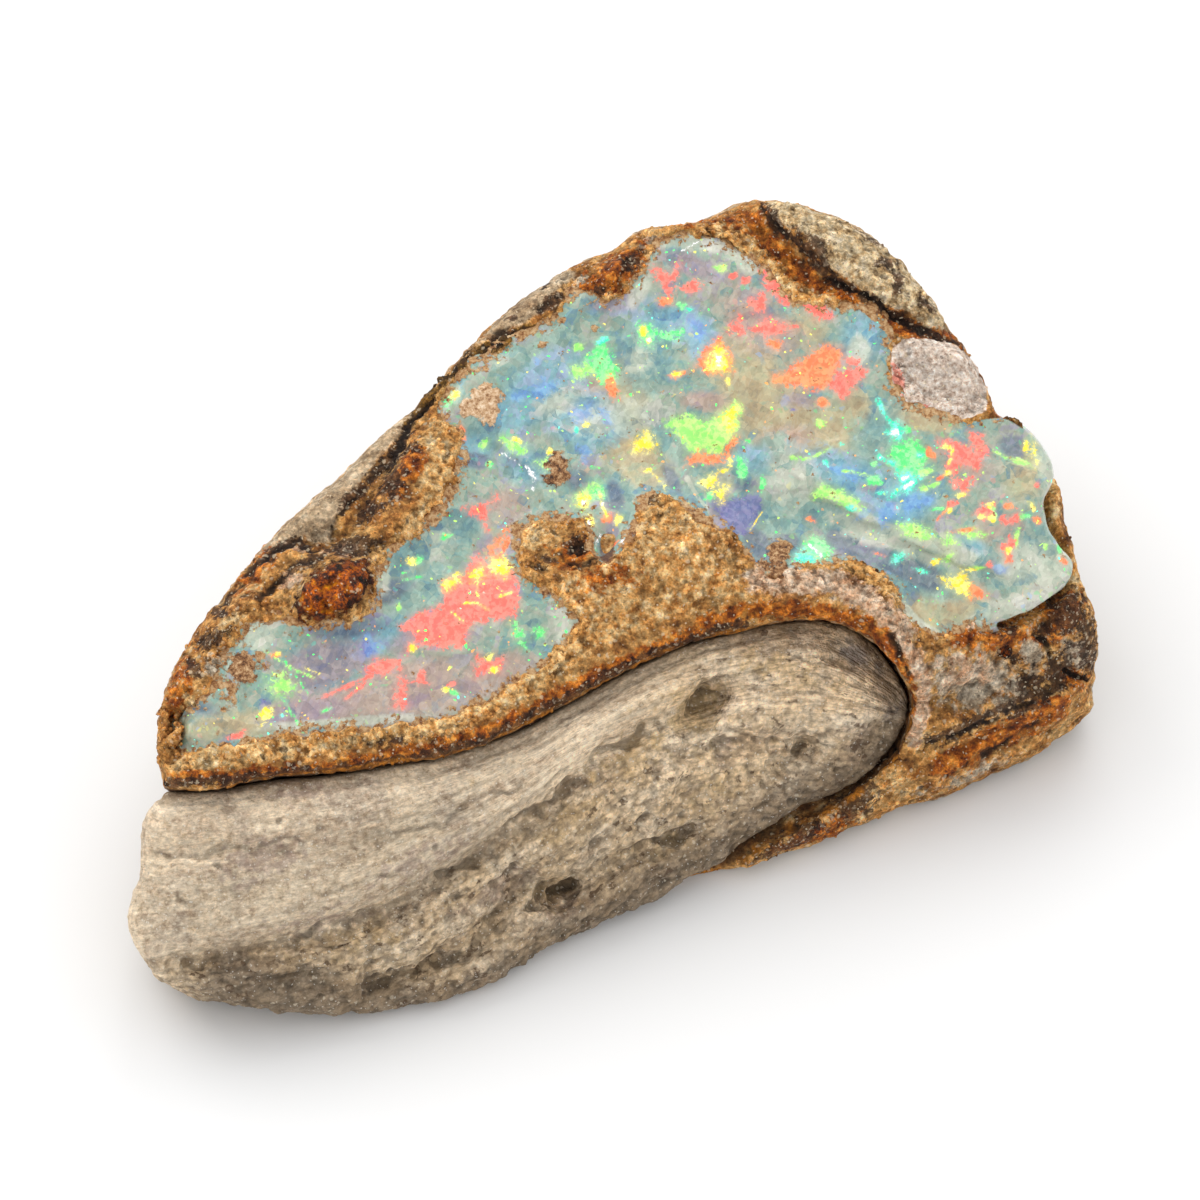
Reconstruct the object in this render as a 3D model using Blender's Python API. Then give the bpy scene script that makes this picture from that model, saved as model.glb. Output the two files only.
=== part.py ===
"""Rough opal specimen: a seam of precious opal lying in iron-stained sandstone, with a pale siltstone nodule along
the front of the stone.

Each piece is the zero surface of a distance-like field, positive outside and in millimetres, that is put together
from outlines, rounded planes, ridges and pits. A skin of quads is stretched over the field and then thinned.

Outlines are drawn square on to the opal face, on the sight plane: u runs right, v up and w towards the viewer.
The stone itself stands on z = 0, with x along its length and y towards its back.
Run with: blender --background --python part.py
"""

import math

import bmesh
import bpy
import numpy as np

MM = 0.001

# ---- Driving dimensions, in millimetres and degrees ----
SIGHT_AZIMUTH = -20.0  # the side from which the opal face is seen square on
SIGHT_ELEVATION = 50.0
SIGHT_CENTRE = (1.5, -2.5, 12.0)  # the point of the stone that lies at u = v = w = 0

FACE_HEIGHT = 18.0  # height of the broken top face over the middle of the foot
FACE_SLOPE = 0.40  # it climbs this much for each millimetre towards the back
OPAL_EDGE_THICKNESS = 1.2  # where the seam pinches out
OPAL_LOBE_EDGE_THICKNESS = 2.6  # at the broken end of the right lobe
OPAL_MIDDLE_THICKNESS = 5.5
OPAL_THICKENS_OVER = 9.0  # from its edge inwards
NODULE_THICKNESS = 9.5
NODULE_END_THICKNESS = 3.4  # at its right end
GAP = 0.4  # the hair crack left between neighbouring pieces
SKIN_STEP = 0.6  # the size of the quads before thinning
FOOT_FLARE = 0.9  # how far the rounded underside would reach below the flat foot

OPAL_TRIANGLES = 2600
SANDSTONE_TRIANGLES = 4700
SILTSTONE_TRIANGLES = 2600

# ---- Outlines on the sight plane, clockwise from the left end ----
SANDSTONE_OUTLINE = [
    (-25.8, -11.4), (-26.3, -9.0), (-26.0, -6.0), (-24.6, -2.4), (-22.6, 1.2), (-18.9, 4.8),
    (-14.7, 8.4), (-11.0, 12.0), (-7.4, 15.7), (-3.6, 19.2), (-1.0, 20.6), (0.8, 21.0), (2.6, 22.2),
    (6.0, 22.7), (9.6, 24.1), (14.9, 22.9), (18.0, 21.0), (21.3, 17.4), (23.2, 14.0), (23.9, 11.6),
    (25.4, 9.6), (27.4, 7.4), (27.8, 5.0), (28.6, 2.8), (29.2, 0.6), (30.3, -2.4), (30.4, -4.4),
    (29.4, -7.0), (26.6, -9.3), (22.8, -11.1), (18.8, -12.6), (14.8, -13.9), (10.8, -15.5),
    (8.4, -16.4), (2.0, -17.8), (-6.0, -20.5), (-14.0, -21.5), (-21.5, -20.0), (-25.2, -15.5),
]
SILTSTONE_OUTLINE = [
    (-25.8, -11.8), (-22.6, -11.6), (-19.7, -11.1), (-16.6, -10.8), (-13.0, -10.2), (-10.2, -9.8),
    (-7.1, -8.9), (-4.4, -7.9), (-1.9, -6.5), (1.0, -4.9), (3.6, -3.6), (6.0, -2.7), (8.8, -2.0),
    (11.6, -1.5), (14.0, -1.6), (16.0, -2.6), (17.5, -4.4), (18.3, -6.3), (17.6, -8.4), (16.4, -10.1),
    (14.0, -12.2), (11.4, -13.6), (9.3, -14.8), (7.6, -16.3), (5.0, -17.3), (2.0, -18.8), (-2.4, -20.9),
    (-6.6, -23.4), (-9.0, -24.3), (-12.5, -24.7), (-16.5, -24.7), (-20.6, -24.3), (-24.2, -23.6),
    (-26.4, -22.4), (-27.8, -20.4), (-28.1, -18.6), (-27.4, -16.4), (-27.3, -13.6), (-26.7, -12.4),
]
OPAL_OUTLINE = [
    (-25.4, -9.0), (-25.0, -6.6), (-23.6, -5.6), (-22.4, -3.4), (-21.2, -1.6), (-19.4, -1.0),
    (-17.6, -1.6), (-15.4, -1.4), (-13.4, -0.2), (-13.3, 2.2), (-11.6, 3.6), (-9.6, 5.2),
    (-8.6, 7.4), (-8.4, 9.6), (-9.5, 11.8), (-8.2, 13.6), (-5.6, 15.5), (-2.8, 17.4), (-0.8, 19.0),
    (0.6, 18.2), (2.0, 19.8), (2.8, 21.2), (4.8, 22.0), (7.4, 21.8), (9.8, 19.8), (11.8, 17.8),
    (14.0, 17.4), (16.4, 17.4), (17.6, 15.2), (17.2, 13.4), (18.9, 11.6), (21.4, 10.8),
    (24.4, 11.0), (26.4, 9.6), (27.3, 7.6), (26.6, 5.8), (27.2, 3.8), (28.5, 2.0), (27.4, 0.4),
    (25.0, -1.0), (22.0, -1.7), (20.0, -2.4), (18.4, -1.0), (17.2, 1.2), (15.0, 2.3), (12.4, 2.0),
    (9.9, 1.9), (8.0, 3.8), (5.6, 5.4), (2.9, 6.4), (2.2, 4.6), (0.2, 2.4), (-1.2, 4.8),
    (-4.6, 4.6), (-5.0, 2.2), (-3.0, 0.4), (-1.4, -1.4), (-3.4, -3.8), (-6.4, -5.4), (-9.0, -7.2),
    (-12.6, -7.6), (-16.6, -7.7), (-20.4, -8.5), (-23.6, -9.2),
]

# ---- Broken flanks of the sandstone, hidden from the viewer: a point on each and its outward normal ----
FLANKS = [
    ((-17.9, 4.4, 19.0), (-0.56, 0.76, 0.32)),
    ((-6.7, 10.5, 21.5), (-0.42, 0.84, 0.34)),
    ((5.6, 17.0, 24.2), (-0.22, 0.90, 0.36)),
    ((24.4, 13.8, 22.0), (0.66, 0.66, 0.36)),
    ((30.2, 0.5, 15.3), (0.93, 0.32, 0.16)),
    ((31.6, -8.0, 7.8), (0.97, 0.10, -0.22)),
    ((-24.0, 3.0, 7.0), (-0.72, 0.60, -0.35)),
    ((-2.0, 15.8, 8.0), (-0.30, 0.86, -0.42)),
    ((20.0, 16.4, 8.0), (0.52, 0.72, -0.45)),
    ((-29.5, -10.0, 8.0), (-0.96, 0.05, -0.25)),
]
FLANK_ROUNDING = 2.6
FRONT_WALL = ((21.0, -13.2, 12.0), (0.10, -0.97, 0.22))  # right of the siltstone

# ---- Relief of the siltstone: routes and spots on the sight plane ----
SHOULDER = [  # above it the nodule faces the viewer, below it the front falls away to the foot
    (-29.0, -21.8), (-19.2, -20.2), (-13.5, -18.7), (-8.2, -15.6), (-3.6, -12.6), (0.1, -9.8),
    (6.4, -7.4), (12.0, -6.6), (20.0, -7.0),
]
CREASES = [  # route, half width, depth
    (
        [(-24.7, -21.4), (-19.2, -20.2), (-13.5, -18.7), (-8.2, -15.6), (-3.6, -12.6), (0.1, -9.4), (3.4, -7.5), (6.4, -6.0)],
        0.9,
        1.3,
    ),
    ([(-13.5, -23.1), (-10.0, -21.6), (-7.2, -20.4), (-4.8, -17.1), (-2.4, -17.4), (1.5, -15.6), (5.5, -13.6)], 0.8, 1.0),
    ([(-26.0, -15.0), (-18.0, -14.6), (-10.5, -13.4), (-5.0, -11.0)], 0.7, 0.35),
    ([(3.6, -9.8), (8.4, -8.6), (13.2, -8.4)], 0.7, 0.5),
]
SILTSTONE_RIDGES = [  # route, half width, height
    ([(-22.0, -19.2), (-14.0, -17.0), (-8.8, -14.2), (-4.4, -11.2), (-0.6, -8.0)], 1.5, 0.7),
    ([(-12.0, -20.2), (-8.0, -18.4), (-3.4, -15.0), (2.0, -12.2), (6.0, -10.4)], 1.4, 0.6),
    ([(-4.8, -19.4), (0.6, -17.4), (5.2, -15.2)], 1.0, 0.5),
    ([(2.2, -6.2), (7.0, -4.2), (12.0, -3.4)], 1.3, 0.5),
]
SILTSTONE_SPOTS = [  # u, v, half length, half width, angle, height
    (-2.4, -17.6, 1.5, 0.9, 10, -1.6),
    (-2.8, -17.5, 0.6, 0.5, 10, 1.0),
    (6.2, -6.6, 2.6, 1.0, 55, -1.3),
    (11.8, -9.2, 1.8, 0.8, 35, -0.9),
    (-5.2, -16.8, 1.8, 0.7, 40, -0.8),
    (5.0, -11.6, 1.6, 0.8, 60, -0.7),
    (-18.0, -22.6, 2.4, 0.8, 0, -0.6),
    (14.6, -3.2, 1.6, 0.8, -40, -0.7),
    (-24.4, -18.0, 2.6, 2.0, 70, 0.7),
    (14.8, -6.6, 2.2, 1.6, 60, 0.6),
]
# ---- Relief of the sandstone ----
SANDSTONE_LUMPS = [  # u, v, half length, half width, angle, height
    (-15.9, 0.7, 2.6, 1.8, 20, 1.8),  # the glassy ironstone nodule at the left
    (-11.4, 6.6, 5.0, 1.9, 52, 0.9),  # the crust beside it
    (-21.4, -1.6, 2.2, 1.5, 50, 1.0),
    (-21.6, -4.2, 1.0, 0.9, 0, 0.8),
    (1.6, 19.8, 2.4, 1.2, 35, 1.4),
    (15.6, 20.2, 8.0, 2.3, -41, 1.5),  # the thick roll along the top right
    (4.6, 3.2, 3.0, 2.4, -30, 1.1),  # the sandstone tongue under the middle of the face
    (-0.6, 0.6, 3.4, 2.4, 20, 0.5),
    (12.5, 0.2, 6.0, 1.3, -8, 1.0),
    (17.6, -2.0, 1.6, 3.2, 0, 1.0),
    (28.2, -3.6, 2.0, 2.0, 60, 1.6),  # the knob at the right end
]
SANDSTONE_GROOVES = [  # route, half width, depth
    ([(-24.6, -3.4), (-22.0, 0.4), (-18.6, 3.6), (-15.0, 4.0), (-13.0, 8.0), (-10.0, 12.0), (-6.4, 15.0)], 0.7, 0.9),
    ([(8.6, 23.2), (12.0, 20.4), (16.4, 17.6), (21.0, 16.0)], 0.8, 1.2),
    ([(26.6, -1.2), (26.8, -2.6), (27.6, -4.0), (29.6, -5.4)], 0.6, 1.5),
]
FRONT_WALL_RIDGES = [  # the same, for the broken wall right of the siltstone
    ([(19.6, -7.6), (23.8, -7.0), (28.8, -5.6)], 0.9, 0.9),
    ([(18.0, -10.8), (22.4, -9.2), (27.6, -6.8)], 0.8, 0.6),
]
# ---- Shell-like steps of the broken opal: route of the edge, drop on its right-hand side, width of the slope ----
OPAL_STEPS = [
    ([(-9.6, 11.0), (-6.6, 8.6), (-4.2, 7.0), (-3.6, 4.0), (-3.4, 0.6)], 0.8, 1.2),
    ([(-1.6, 18.0), (0.4, 13.0), (3.2, 8.4), (6.2, 5.0), (9.2, 1.8)], 0.6, 1.1),
    ([(9.6, 8.0), (14.4, 5.2), (18.0, 3.6), (22.0, 1.9), (27.0, 0.2)], 0.8, 1.8),
    ([(12.0, 16.6), (15.6, 11.6), (20.8, 8.2), (26.6, 6.8)], 0.5, 1.2),
]
OPAL_SPOTS = [  # u, v, half length, half width, angle, height
    (0.2, 3.8, 1.3, 1.0, 80, -1.9),  # the dark notch in front of the tongue
    (23.0, 5.6, 4.0, 3.4, 20, 0.6),  # the swelling of the right lobe
    (-7.8, -2.0, 5.0, 3.0, 40, 0.4),
    (9.0, 11.0, 7.0, 4.0, -30, 0.4),
]


# ---- The sight frame ----


def sight_axes():
    """Unit vectors of u, v and w in the stone's own frame, one to a row."""
    azimuth, elevation = math.radians(SIGHT_AZIMUTH), math.radians(SIGHT_ELEVATION)
    right = (math.cos(azimuth), math.sin(azimuth), 0.0)
    up = (-math.sin(azimuth) * math.sin(elevation), math.cos(azimuth) * math.sin(elevation), math.cos(elevation))
    towards = (math.sin(azimuth) * math.cos(elevation), -math.cos(azimuth) * math.cos(elevation), math.sin(elevation))
    return np.array([right, up, towards])


AXES = sight_axes()


def stone_xyz(u, v, w):
    """The stone's x, y and z of a place on or off the sight plane."""
    return [SIGHT_CENTRE[i] + u * AXES[0, i] + v * AXES[1, i] + w * AXES[2, i] for i in range(3)]


# ---- Shapes that fields are made of ----


def smooth_route(points, closed, steps=6):
    """Points along a Catmull-Rom curve through the given ones."""
    points = np.array(points, float)
    if closed:
        before, here, after, beyond = (np.roll(points, shift, axis=0) for shift in (1, 0, -1, -2))
    else:
        padded = np.vstack([2 * points[0] - points[1], points, 2 * points[-1] - points[-2]])
        before, here, after, beyond = padded[:-3], padded[1:-2], padded[2:-1], padded[3:]
    route = []
    for t in np.arange(steps) / steps:
        route.append(
            0.5
            * (
                2 * here
                + (after - before) * t
                + (2 * before - 5 * here + 4 * after - beyond) * t**2
                + (3 * here - before - 3 * after + beyond) * t**3
            )
        )
    curve = np.stack(route, axis=1).reshape(-1, 2)
    return curve if closed else np.vstack([curve, points[-1]])


def distance_to_route(route, u, v, closed):
    """Distance from (u, v) to a polyline, and which side of the nearest stretch it is on: +1 left, -1 right."""
    u, v = np.broadcast_arrays(u, v)
    nearest = np.full(u.shape, np.inf)
    side = np.ones(u.shape)
    ends = np.roll(route, -1, axis=0) if closed else route[1:]
    for (u0, v0), (u1, v1) in zip(route, ends):
        du, dv = u1 - u0, v1 - v0
        along = np.clip(((u - u0) * du + (v - v0) * dv) / (du * du + dv * dv), 0, 1)
        gap_u, gap_v = u - u0 - along * du, v - v0 - along * dv
        squared = gap_u**2 + gap_v**2
        closer = squared < nearest
        nearest = np.where(closer, squared, nearest)
        side = np.where(closer, np.sign(du * gap_v - dv * gap_u), side)
    return np.sqrt(nearest), side


def outside(route, u, v):
    """Signed distance to a closed outline: negative inside, positive outside."""
    distance, _ = distance_to_route(route, u, v, True)
    crossings = np.zeros(np.broadcast(u, v).shape, int)
    for (u0, v0), (u1, v1) in zip(route, np.roll(route, -1, axis=0)):
        if v0 == v1:
            continue
        spans = (v0 > v) != (v1 > v)
        crossings += spans & (u < u0 + (v - v0) * (u1 - u0) / (v1 - v0))
    return np.where(crossings % 2 == 1, -distance, distance)


def round_max(a, b, radius):
    """The meeting of two solids, with its edge rounded to the radius."""
    corner = np.hypot(np.maximum(a + radius, 0), np.maximum(b + radius, 0)) - radius
    return np.where(np.maximum(a, b) < -radius, np.maximum(a, b), corner)


def soft_step(x):
    """0 below 0, 1 above 1, smooth between."""
    x = np.clip(x, 0, 1)
    return x * x * (3 - 2 * x)


def beyond(plane, xyz):
    """Signed distance in front of a plane, given as a point and its outward normal."""
    point, normal = plane
    length = math.sqrt(sum(n * n for n in normal))
    return sum((a - p) * n for a, p, n in zip(xyz, point, normal)) / length


def spot(u, v, place):
    """A dome of height place[5] over an ellipse on the sight plane."""
    centre_u, centre_v, half_length, half_width, angle, height = place
    cos, sin = math.cos(math.radians(angle)), math.sin(math.radians(angle))
    along = ((u - centre_u) * cos + (v - centre_v) * sin) / half_length
    across = ((v - centre_v) * cos - (u - centre_u) * sin) / half_width
    return height * soft_step(1.35 - np.hypot(along, across) * 0.9)


def ridge(u, v, route, half_width, height):
    """A rounded ridge along a route, which fades out at both ends."""
    distance, _ = distance_to_route(route, u, v, False)
    return height * np.exp(-((distance / half_width) ** 2))


def lumps(xyz, size, seed):
    """Smooth random swellings between -1 and 1, about one to each size in millimetres."""
    lattice = np.random.default_rng(seed).uniform(-1, 1, (24, 24, 24))
    cell, part = [], []
    for a in xyz:
        place = a / size + 100
        cell.append(np.floor(place).astype(int))
        part.append(soft_step(place - np.floor(place)))
    total = 0.0
    for i in (0, 1):
        for j in (0, 1):
            for k in (0, 1):
                weight = 1.0
                for share, bit in zip(part, (i, j, k)):
                    weight = weight * (share if bit else 1 - share)
                total = total + weight * lattice[(cell[0] + i) % 24, (cell[1] + j) % 24, (cell[2] + k) % 24]
    return total


# ---- The three pieces as fields ----

SANDSTONE_EDGE = smooth_route(SANDSTONE_OUTLINE, True)
SILTSTONE_EDGE = smooth_route(SILTSTONE_OUTLINE, True)
OPAL_EDGE = smooth_route(OPAL_OUTLINE, True, 4)
SHOULDER_LINE = smooth_route(SHOULDER, False)
CREASE_LINES, RIDGE_LINES, GROOVE_LINES, WALL_LINES, STEPS = (
    [(smooth_route(route, False), a, b) for route, a, b in group]
    for group in (CREASES, SILTSTONE_RIDGES, SANDSTONE_GROOVES, FRONT_WALL_RIDGES, OPAL_STEPS)
)


def face_level(u, v):
    """w of the broken top face: the plane z = FACE_HEIGHT + FACE_SLOPE * y, as seen on the sight plane."""
    per_u, per_v, per_w = (axis[2] - FACE_SLOPE * axis[1] for axis in AXES)
    offset = SIGHT_CENTRE[2] - FACE_SLOPE * SIGHT_CENTRE[1] - FACE_HEIGHT
    return -(offset + per_u * u + per_v * v) / per_w


def stand(field, xyz):
    """The piece with its underside rounded towards the foot."""
    return round_max(field, -xyz[2] - FOOT_FLARE, 2.5)


def opal_relief(u, v):
    relief = 0.35 * lumps((u, v, 0 * u), 7.0, 3) + 0.15 * lumps((u, v, 0 * u), 3.0, 4)
    for route, drop, width in STEPS:
        distance, side = distance_to_route(route, u, v, False)
        to_ends = np.minimum(np.hypot(u - route[0, 0], v - route[0, 1]), np.hypot(u - route[-1, 0], v - route[-1, 1]))
        fade = np.exp(-((distance / 5.5) ** 2)) * soft_step(to_ends / 4.5)
        relief = relief - drop * fade * soft_step(0.5 - side * distance / width)
    for place in OPAL_SPOTS:
        relief = relief + spot(u, v, place)
    return relief


def opal(u, v, w):
    edge = outside(OPAL_EDGE, u, v)
    top = w - face_level(u, v) - opal_relief(u, v)
    return round_max(round_max(edge, top, 0.6), opal_floor(u, v) - w, 1.2)


def opal_floor(u, v):
    """w of the underside of the opal."""
    at_edge = OPAL_EDGE_THICKNESS + (OPAL_LOBE_EDGE_THICKNESS - OPAL_EDGE_THICKNESS) * soft_step((u - 17.0) / 7.0)
    inwards = soft_step(-outside(OPAL_EDGE, u, v) / OPAL_THICKENS_OVER)
    return face_level(u, v) - at_edge - (OPAL_MIDDLE_THICKNESS - at_edge) * inwards


def below_shoulder(u, v):
    distance, side = distance_to_route(SHOULDER_LINE, u, v, False)
    return np.maximum(-side * distance + 0.4, 0)


def nodule_level(u, v):
    """w of the front of the nodule before its creases, hollows and grain."""
    level = 9.2 - 0.20 * (u + 12.6) - 0.003 * (u + 12.6) ** 2 - 0.05 * (v + 10.2)
    return level - 0.42 * below_shoulder(u, v)


def nodule_back(u, v, w):
    """Distance behind the hidden back of the nodule, which thins towards its right end and its foot."""
    thickness = NODULE_THICKNESS - (NODULE_THICKNESS - NODULE_END_THICKNESS) * soft_step((u + 20) / 32)
    return nodule_level(u, v) - thickness + 0.22 * below_shoulder(u, v) - w


def siltstone(u, v, w):
    xyz = stone_xyz(u, v, w)
    front = nodule_level(u, v) + 0.5 * lumps(xyz, 6.0, 11) + 0.22 * lumps(xyz, 2.4, 12)
    for route, width, depth in CREASE_LINES:
        front = front - ridge(u, v, route, width, depth)
    for route, width, height in RIDGE_LINES:
        front = front + ridge(u, v, route, width, height)
    for place in SILTSTONE_SPOTS:
        front = front + spot(u, v, place)
    field = round_max(outside(SILTSTONE_EDGE, u, v), w - front, 2.2)
    field = round_max(field, nodule_back(u, v, w), 2.0)
    return stand(field, xyz)


def sandstone(u, v, w):
    xyz = stone_xyz(u, v, w)
    edge = outside(SANDSTONE_EDGE, u, v)
    nodule = outside(SILTSTONE_EDGE, u, v)
    top = face_level(u, v) + 0.30 * lumps(xyz, 5.0, 21) + 0.15 * lumps(xyz, 2.2, 22)
    top = top - 1.1 * np.exp(-np.maximum(nodule, 0) / 0.9)
    top = top - 1.6 * soft_step((u - 23.0) / 3.0)
    for place in SANDSTONE_LUMPS:
        top = top + spot(u, v, place)
    for route, width, depth in GROOVE_LINES:
        top = top - ridge(u, v, route, width, depth)
    field = round_max(edge, w - top, 1.8)
    rough = 0.5 * lumps(xyz, 6.0, 23) + 0.25 * lumps(xyz, 2.6, 24)
    wall = beyond(FRONT_WALL, xyz) + rough
    for route, width, height in WALL_LINES:
        wall = wall - ridge(u, v, route, width, height)
    field = round_max(field, wall, 1.4)
    for plane in FLANKS:
        field = round_max(field, beyond(plane, xyz) + rough, FLANK_ROUNDING)
    field = stand(field, xyz)
    opal_bed = round_max(outside(OPAL_EDGE, u, v), opal_floor(u, v) - w, 1.2)
    nodule_bed = round_max(nodule, nodule_back(u, v, w), 2.0)
    return round_max(round_max(field, GAP - opal_bed, 0.5), GAP - nodule_bed, 0.5)


# ---- Skin over a field ----


def cut(start, stop, axis, rest=(slice(None),) * 3):
    """An index that takes start:stop along one axis and the rest of the others."""
    index = list(rest)
    index[axis] = slice(start, stop)
    return tuple(index)


def spread(seed, allowed):
    """All the allowed grid points that can be reached from the seed points, a side at a time."""
    reached = seed & allowed
    while True:
        wider = reached.copy()
        for axis in range(3):
            wider[cut(1, None, axis)] |= reached[cut(None, -1, axis)]
            wider[cut(None, -1, axis)] |= reached[cut(1, None, axis)]
        wider &= allowed
        if (wider == reached).all():
            return reached
        reached = wider


def one_body(value, above_foot):
    """Takes off loose crumbs and fills sealed hollows, so that a single unbroken surface is left."""
    solid = (value < 0) & above_foot
    deepest = value == np.where(solid, value, 0).min()
    crumbs = solid & ~spread(deepest, solid)
    value[crumbs] = 0.02
    empty = value >= 0
    rim = np.zeros(value.shape, bool)
    rim[0, 0, 0] = True
    value[empty & ~spread(rim, empty)] = -0.02
    return value


def part_diagonals(value):
    """Moves grid points just out of the solid where it would touch itself only across a diagonal."""
    for _ in range(12):
        changed = 0
        for axis in range(3):
            first, second = [k for k in range(3) if k != axis]
            low_low = cut(None, -1, first, cut(None, -1, second))
            high_high = cut(1, None, first, cut(1, None, second))
            low_high = cut(None, -1, first, cut(1, None, second))
            high_low = cut(1, None, first, cut(None, -1, second))
            for a, b, c, d in (
                (low_low, high_high, low_high, high_low),
                (low_high, high_low, low_low, high_high),
            ):
                touching = (value[a] < 0) & (value[b] < 0) & (value[c] >= 0) & (value[d] >= 0)
                changed += touching.sum()
                shallower = value[a] > value[b]
                value[a] = np.where(touching & shallower, 0.02, value[a])
                value[b] = np.where(touching & ~shallower, 0.02, value[b])
        cells = tuple(n - 1 for n in value.shape)
        for flip in ((0, 0), (0, 1), (1, 0), (1, 1)):
            near_corner = (0, *flip)
            corners = {}
            for i in (0, 1):
                for j in (0, 1):
                    for k in (0, 1):
                        corners[i, j, k] = tuple(slice(s, s + n) for s, n in zip((i, j, k), cells))
            far_corner = tuple(1 - s for s in near_corner)
            solid = {place: value[index] < 0 for place, index in corners.items()}
            others = [solid[place] for place in solid if place not in (near_corner, far_corner)]
            both = solid[near_corner] & solid[far_corner] & ~np.logical_or.reduce(others)
            neither = ~solid[near_corner] & ~solid[far_corner] & np.logical_and.reduce(others)
            changed += both.sum() + neither.sum()
            near = value[corners[near_corner]]
            value[corners[near_corner]] = np.where(both, 0.02, np.where(neither, -0.02, near))
        if not changed:
            break
    return value


def skin(field, low, high, step):
    """Vertices and quads of the field's zero surface inside the box, one vertex to each grid cell that it crosses."""
    u, v, w = (np.arange(a, b + step, step) for a, b in zip(low, high))
    value = field(u[:, None, None], v[None, :, None], w[None, None, :])
    value = np.array(np.broadcast_to(value, (len(u), len(v), len(w))))
    above_foot = stone_xyz(u[:, None, None], v[None, :, None], w[None, None, :])[2] > 0.3
    for _ in range(2):
        value = one_body(part_diagonals(value), above_foot)
    inside = value < 0
    cells = tuple(n - 1 for n in value.shape)
    total, count = np.zeros(cells + (3,)), np.zeros(cells)
    for axis in range(3):
        for i in (0, 1):
            for j in (0, 1):
                start = np.insert((i, j), axis, 0)
                end = np.insert((i, j), axis, 1)
                a = value[tuple(slice(s, s + n) for s, n in zip(start, cells))]
                b = value[tuple(slice(s, s + n) for s, n in zip(end, cells))]
                crosses = (a < 0) != (b < 0)
                share = np.where(crosses, a / np.where(crosses, a - b, 1), 0)
                for k in range(3):
                    offset = share if k == axis else start[k]
                    total[..., k] += np.where(crosses, offset, 0)
                count += crosses
    used = count > 0
    number = np.full(cells, -1)
    number[used] = np.arange(used.sum())
    corner = np.stack(np.meshgrid(u[:-1], v[:-1], w[:-1], indexing="ij"), axis=-1)
    points = corner[used] + total[used] / count[used][:, None] * step
    quads = []
    for axis in range(3):
        inner = tuple(slice(0 if k == axis else 1, cells[k]) for k in range(3))
        ahead = tuple(slice(1, cells[k] + 1) if k == axis else slice(1, cells[k]) for k in range(3))
        leaves = inside[inner] & ~inside[ahead]
        enters = ~inside[inner] & inside[ahead]
        first, second = [k for k in range(3) if k != axis]
        if axis == 1:
            first, second = second, first
        for change, order in ((leaves, (0, 1, 2, 3)), (enters, (3, 2, 1, 0))):
            at = np.argwhere(change) + [0 if k == axis else 1 for k in range(3)]
            ring = []
            for back_first, back_second in ((1, 1), (0, 1), (0, 0), (1, 0)):
                place = at.copy()
                place[:, first] -= back_first
                place[:, second] -= back_second
                ring.append(number[tuple(place.T)])
            quads.append(np.stack([ring[k] for k in order], axis=1))
    return points, np.vstack(quads)


def settle(field, points, rounds=3, reach=0.05):
    """Moves each point along the field's slope on to the zero surface."""
    for _ in range(rounds):
        value = field(*points.T)
        slope = np.stack(
            [(field(*(points + reach * axis).T) - value) / reach for axis in np.eye(3)], axis=1
        )
        steepness = np.maximum((slope**2).sum(axis=1), 0.2)
        move = -(value / steepness)[:, None] * slope
        points = points + np.clip(move, -0.15, 0.15)
    return points


# ---- Blender objects ----


def stone_material(name, colour, roughness):
    material = bpy.data.materials.new(name)
    material.use_nodes = True
    shader = material.node_tree.nodes["Principled BSDF"]
    shader.inputs["Base Color"].default_value = (*colour, 1.0)
    shader.inputs["Roughness"].default_value = roughness
    material.diffuse_color = (*colour, 1.0)
    return material


def cut_flat_foot(mesh_edit):
    """Takes off all that is below z = 0 and closes the cut with flat faces."""
    whole = mesh_edit.verts[:] + mesh_edit.edges[:] + mesh_edit.faces[:]
    cut = bmesh.ops.bisect_plane(
        mesh_edit, geom=whole, dist=1e-7, plane_co=(0, 0, 0), plane_no=(0, 0, -1), clear_outer=True
    )
    rim = [item for item in cut["geom_cut"] if isinstance(item, bmesh.types.BMEdge)]
    bmesh.ops.triangle_fill(mesh_edit, edges=rim, use_beauty=True, normal=(0, 0, -1))


def stone_piece(name, field, low, high, triangles, material, on_foot):
    """One closed solid over the field, thinned to about the given number of triangles."""
    points, quads = skin(field, low, high, SKIN_STEP)
    points = settle(field, points)
    xyz = np.stack(stone_xyz(*points.T), axis=1) * MM
    mesh = bpy.data.meshes.new(name)
    mesh.from_pydata(xyz.tolist(), [], quads.tolist())
    mesh_edit = bmesh.new()
    mesh_edit.from_mesh(mesh)
    bmesh.ops.triangulate(mesh_edit, faces=mesh_edit.faces[:])
    if on_foot:
        cut_flat_foot(mesh_edit)
    bmesh.ops.recalc_face_normals(mesh_edit, faces=mesh_edit.faces[:])
    mesh_edit.to_mesh(mesh)
    mesh_edit.free()
    mesh.materials.append(material)
    mesh.shade_smooth()
    mesh.set_sharp_from_angle(angle=math.radians(40))
    piece = bpy.data.objects.new(name, mesh)
    bpy.context.scene.collection.objects.link(piece)
    thin = piece.modifiers.new("thin", "DECIMATE")
    thin.ratio = min(1.0, triangles / len(mesh.polygons))
    return piece


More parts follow.
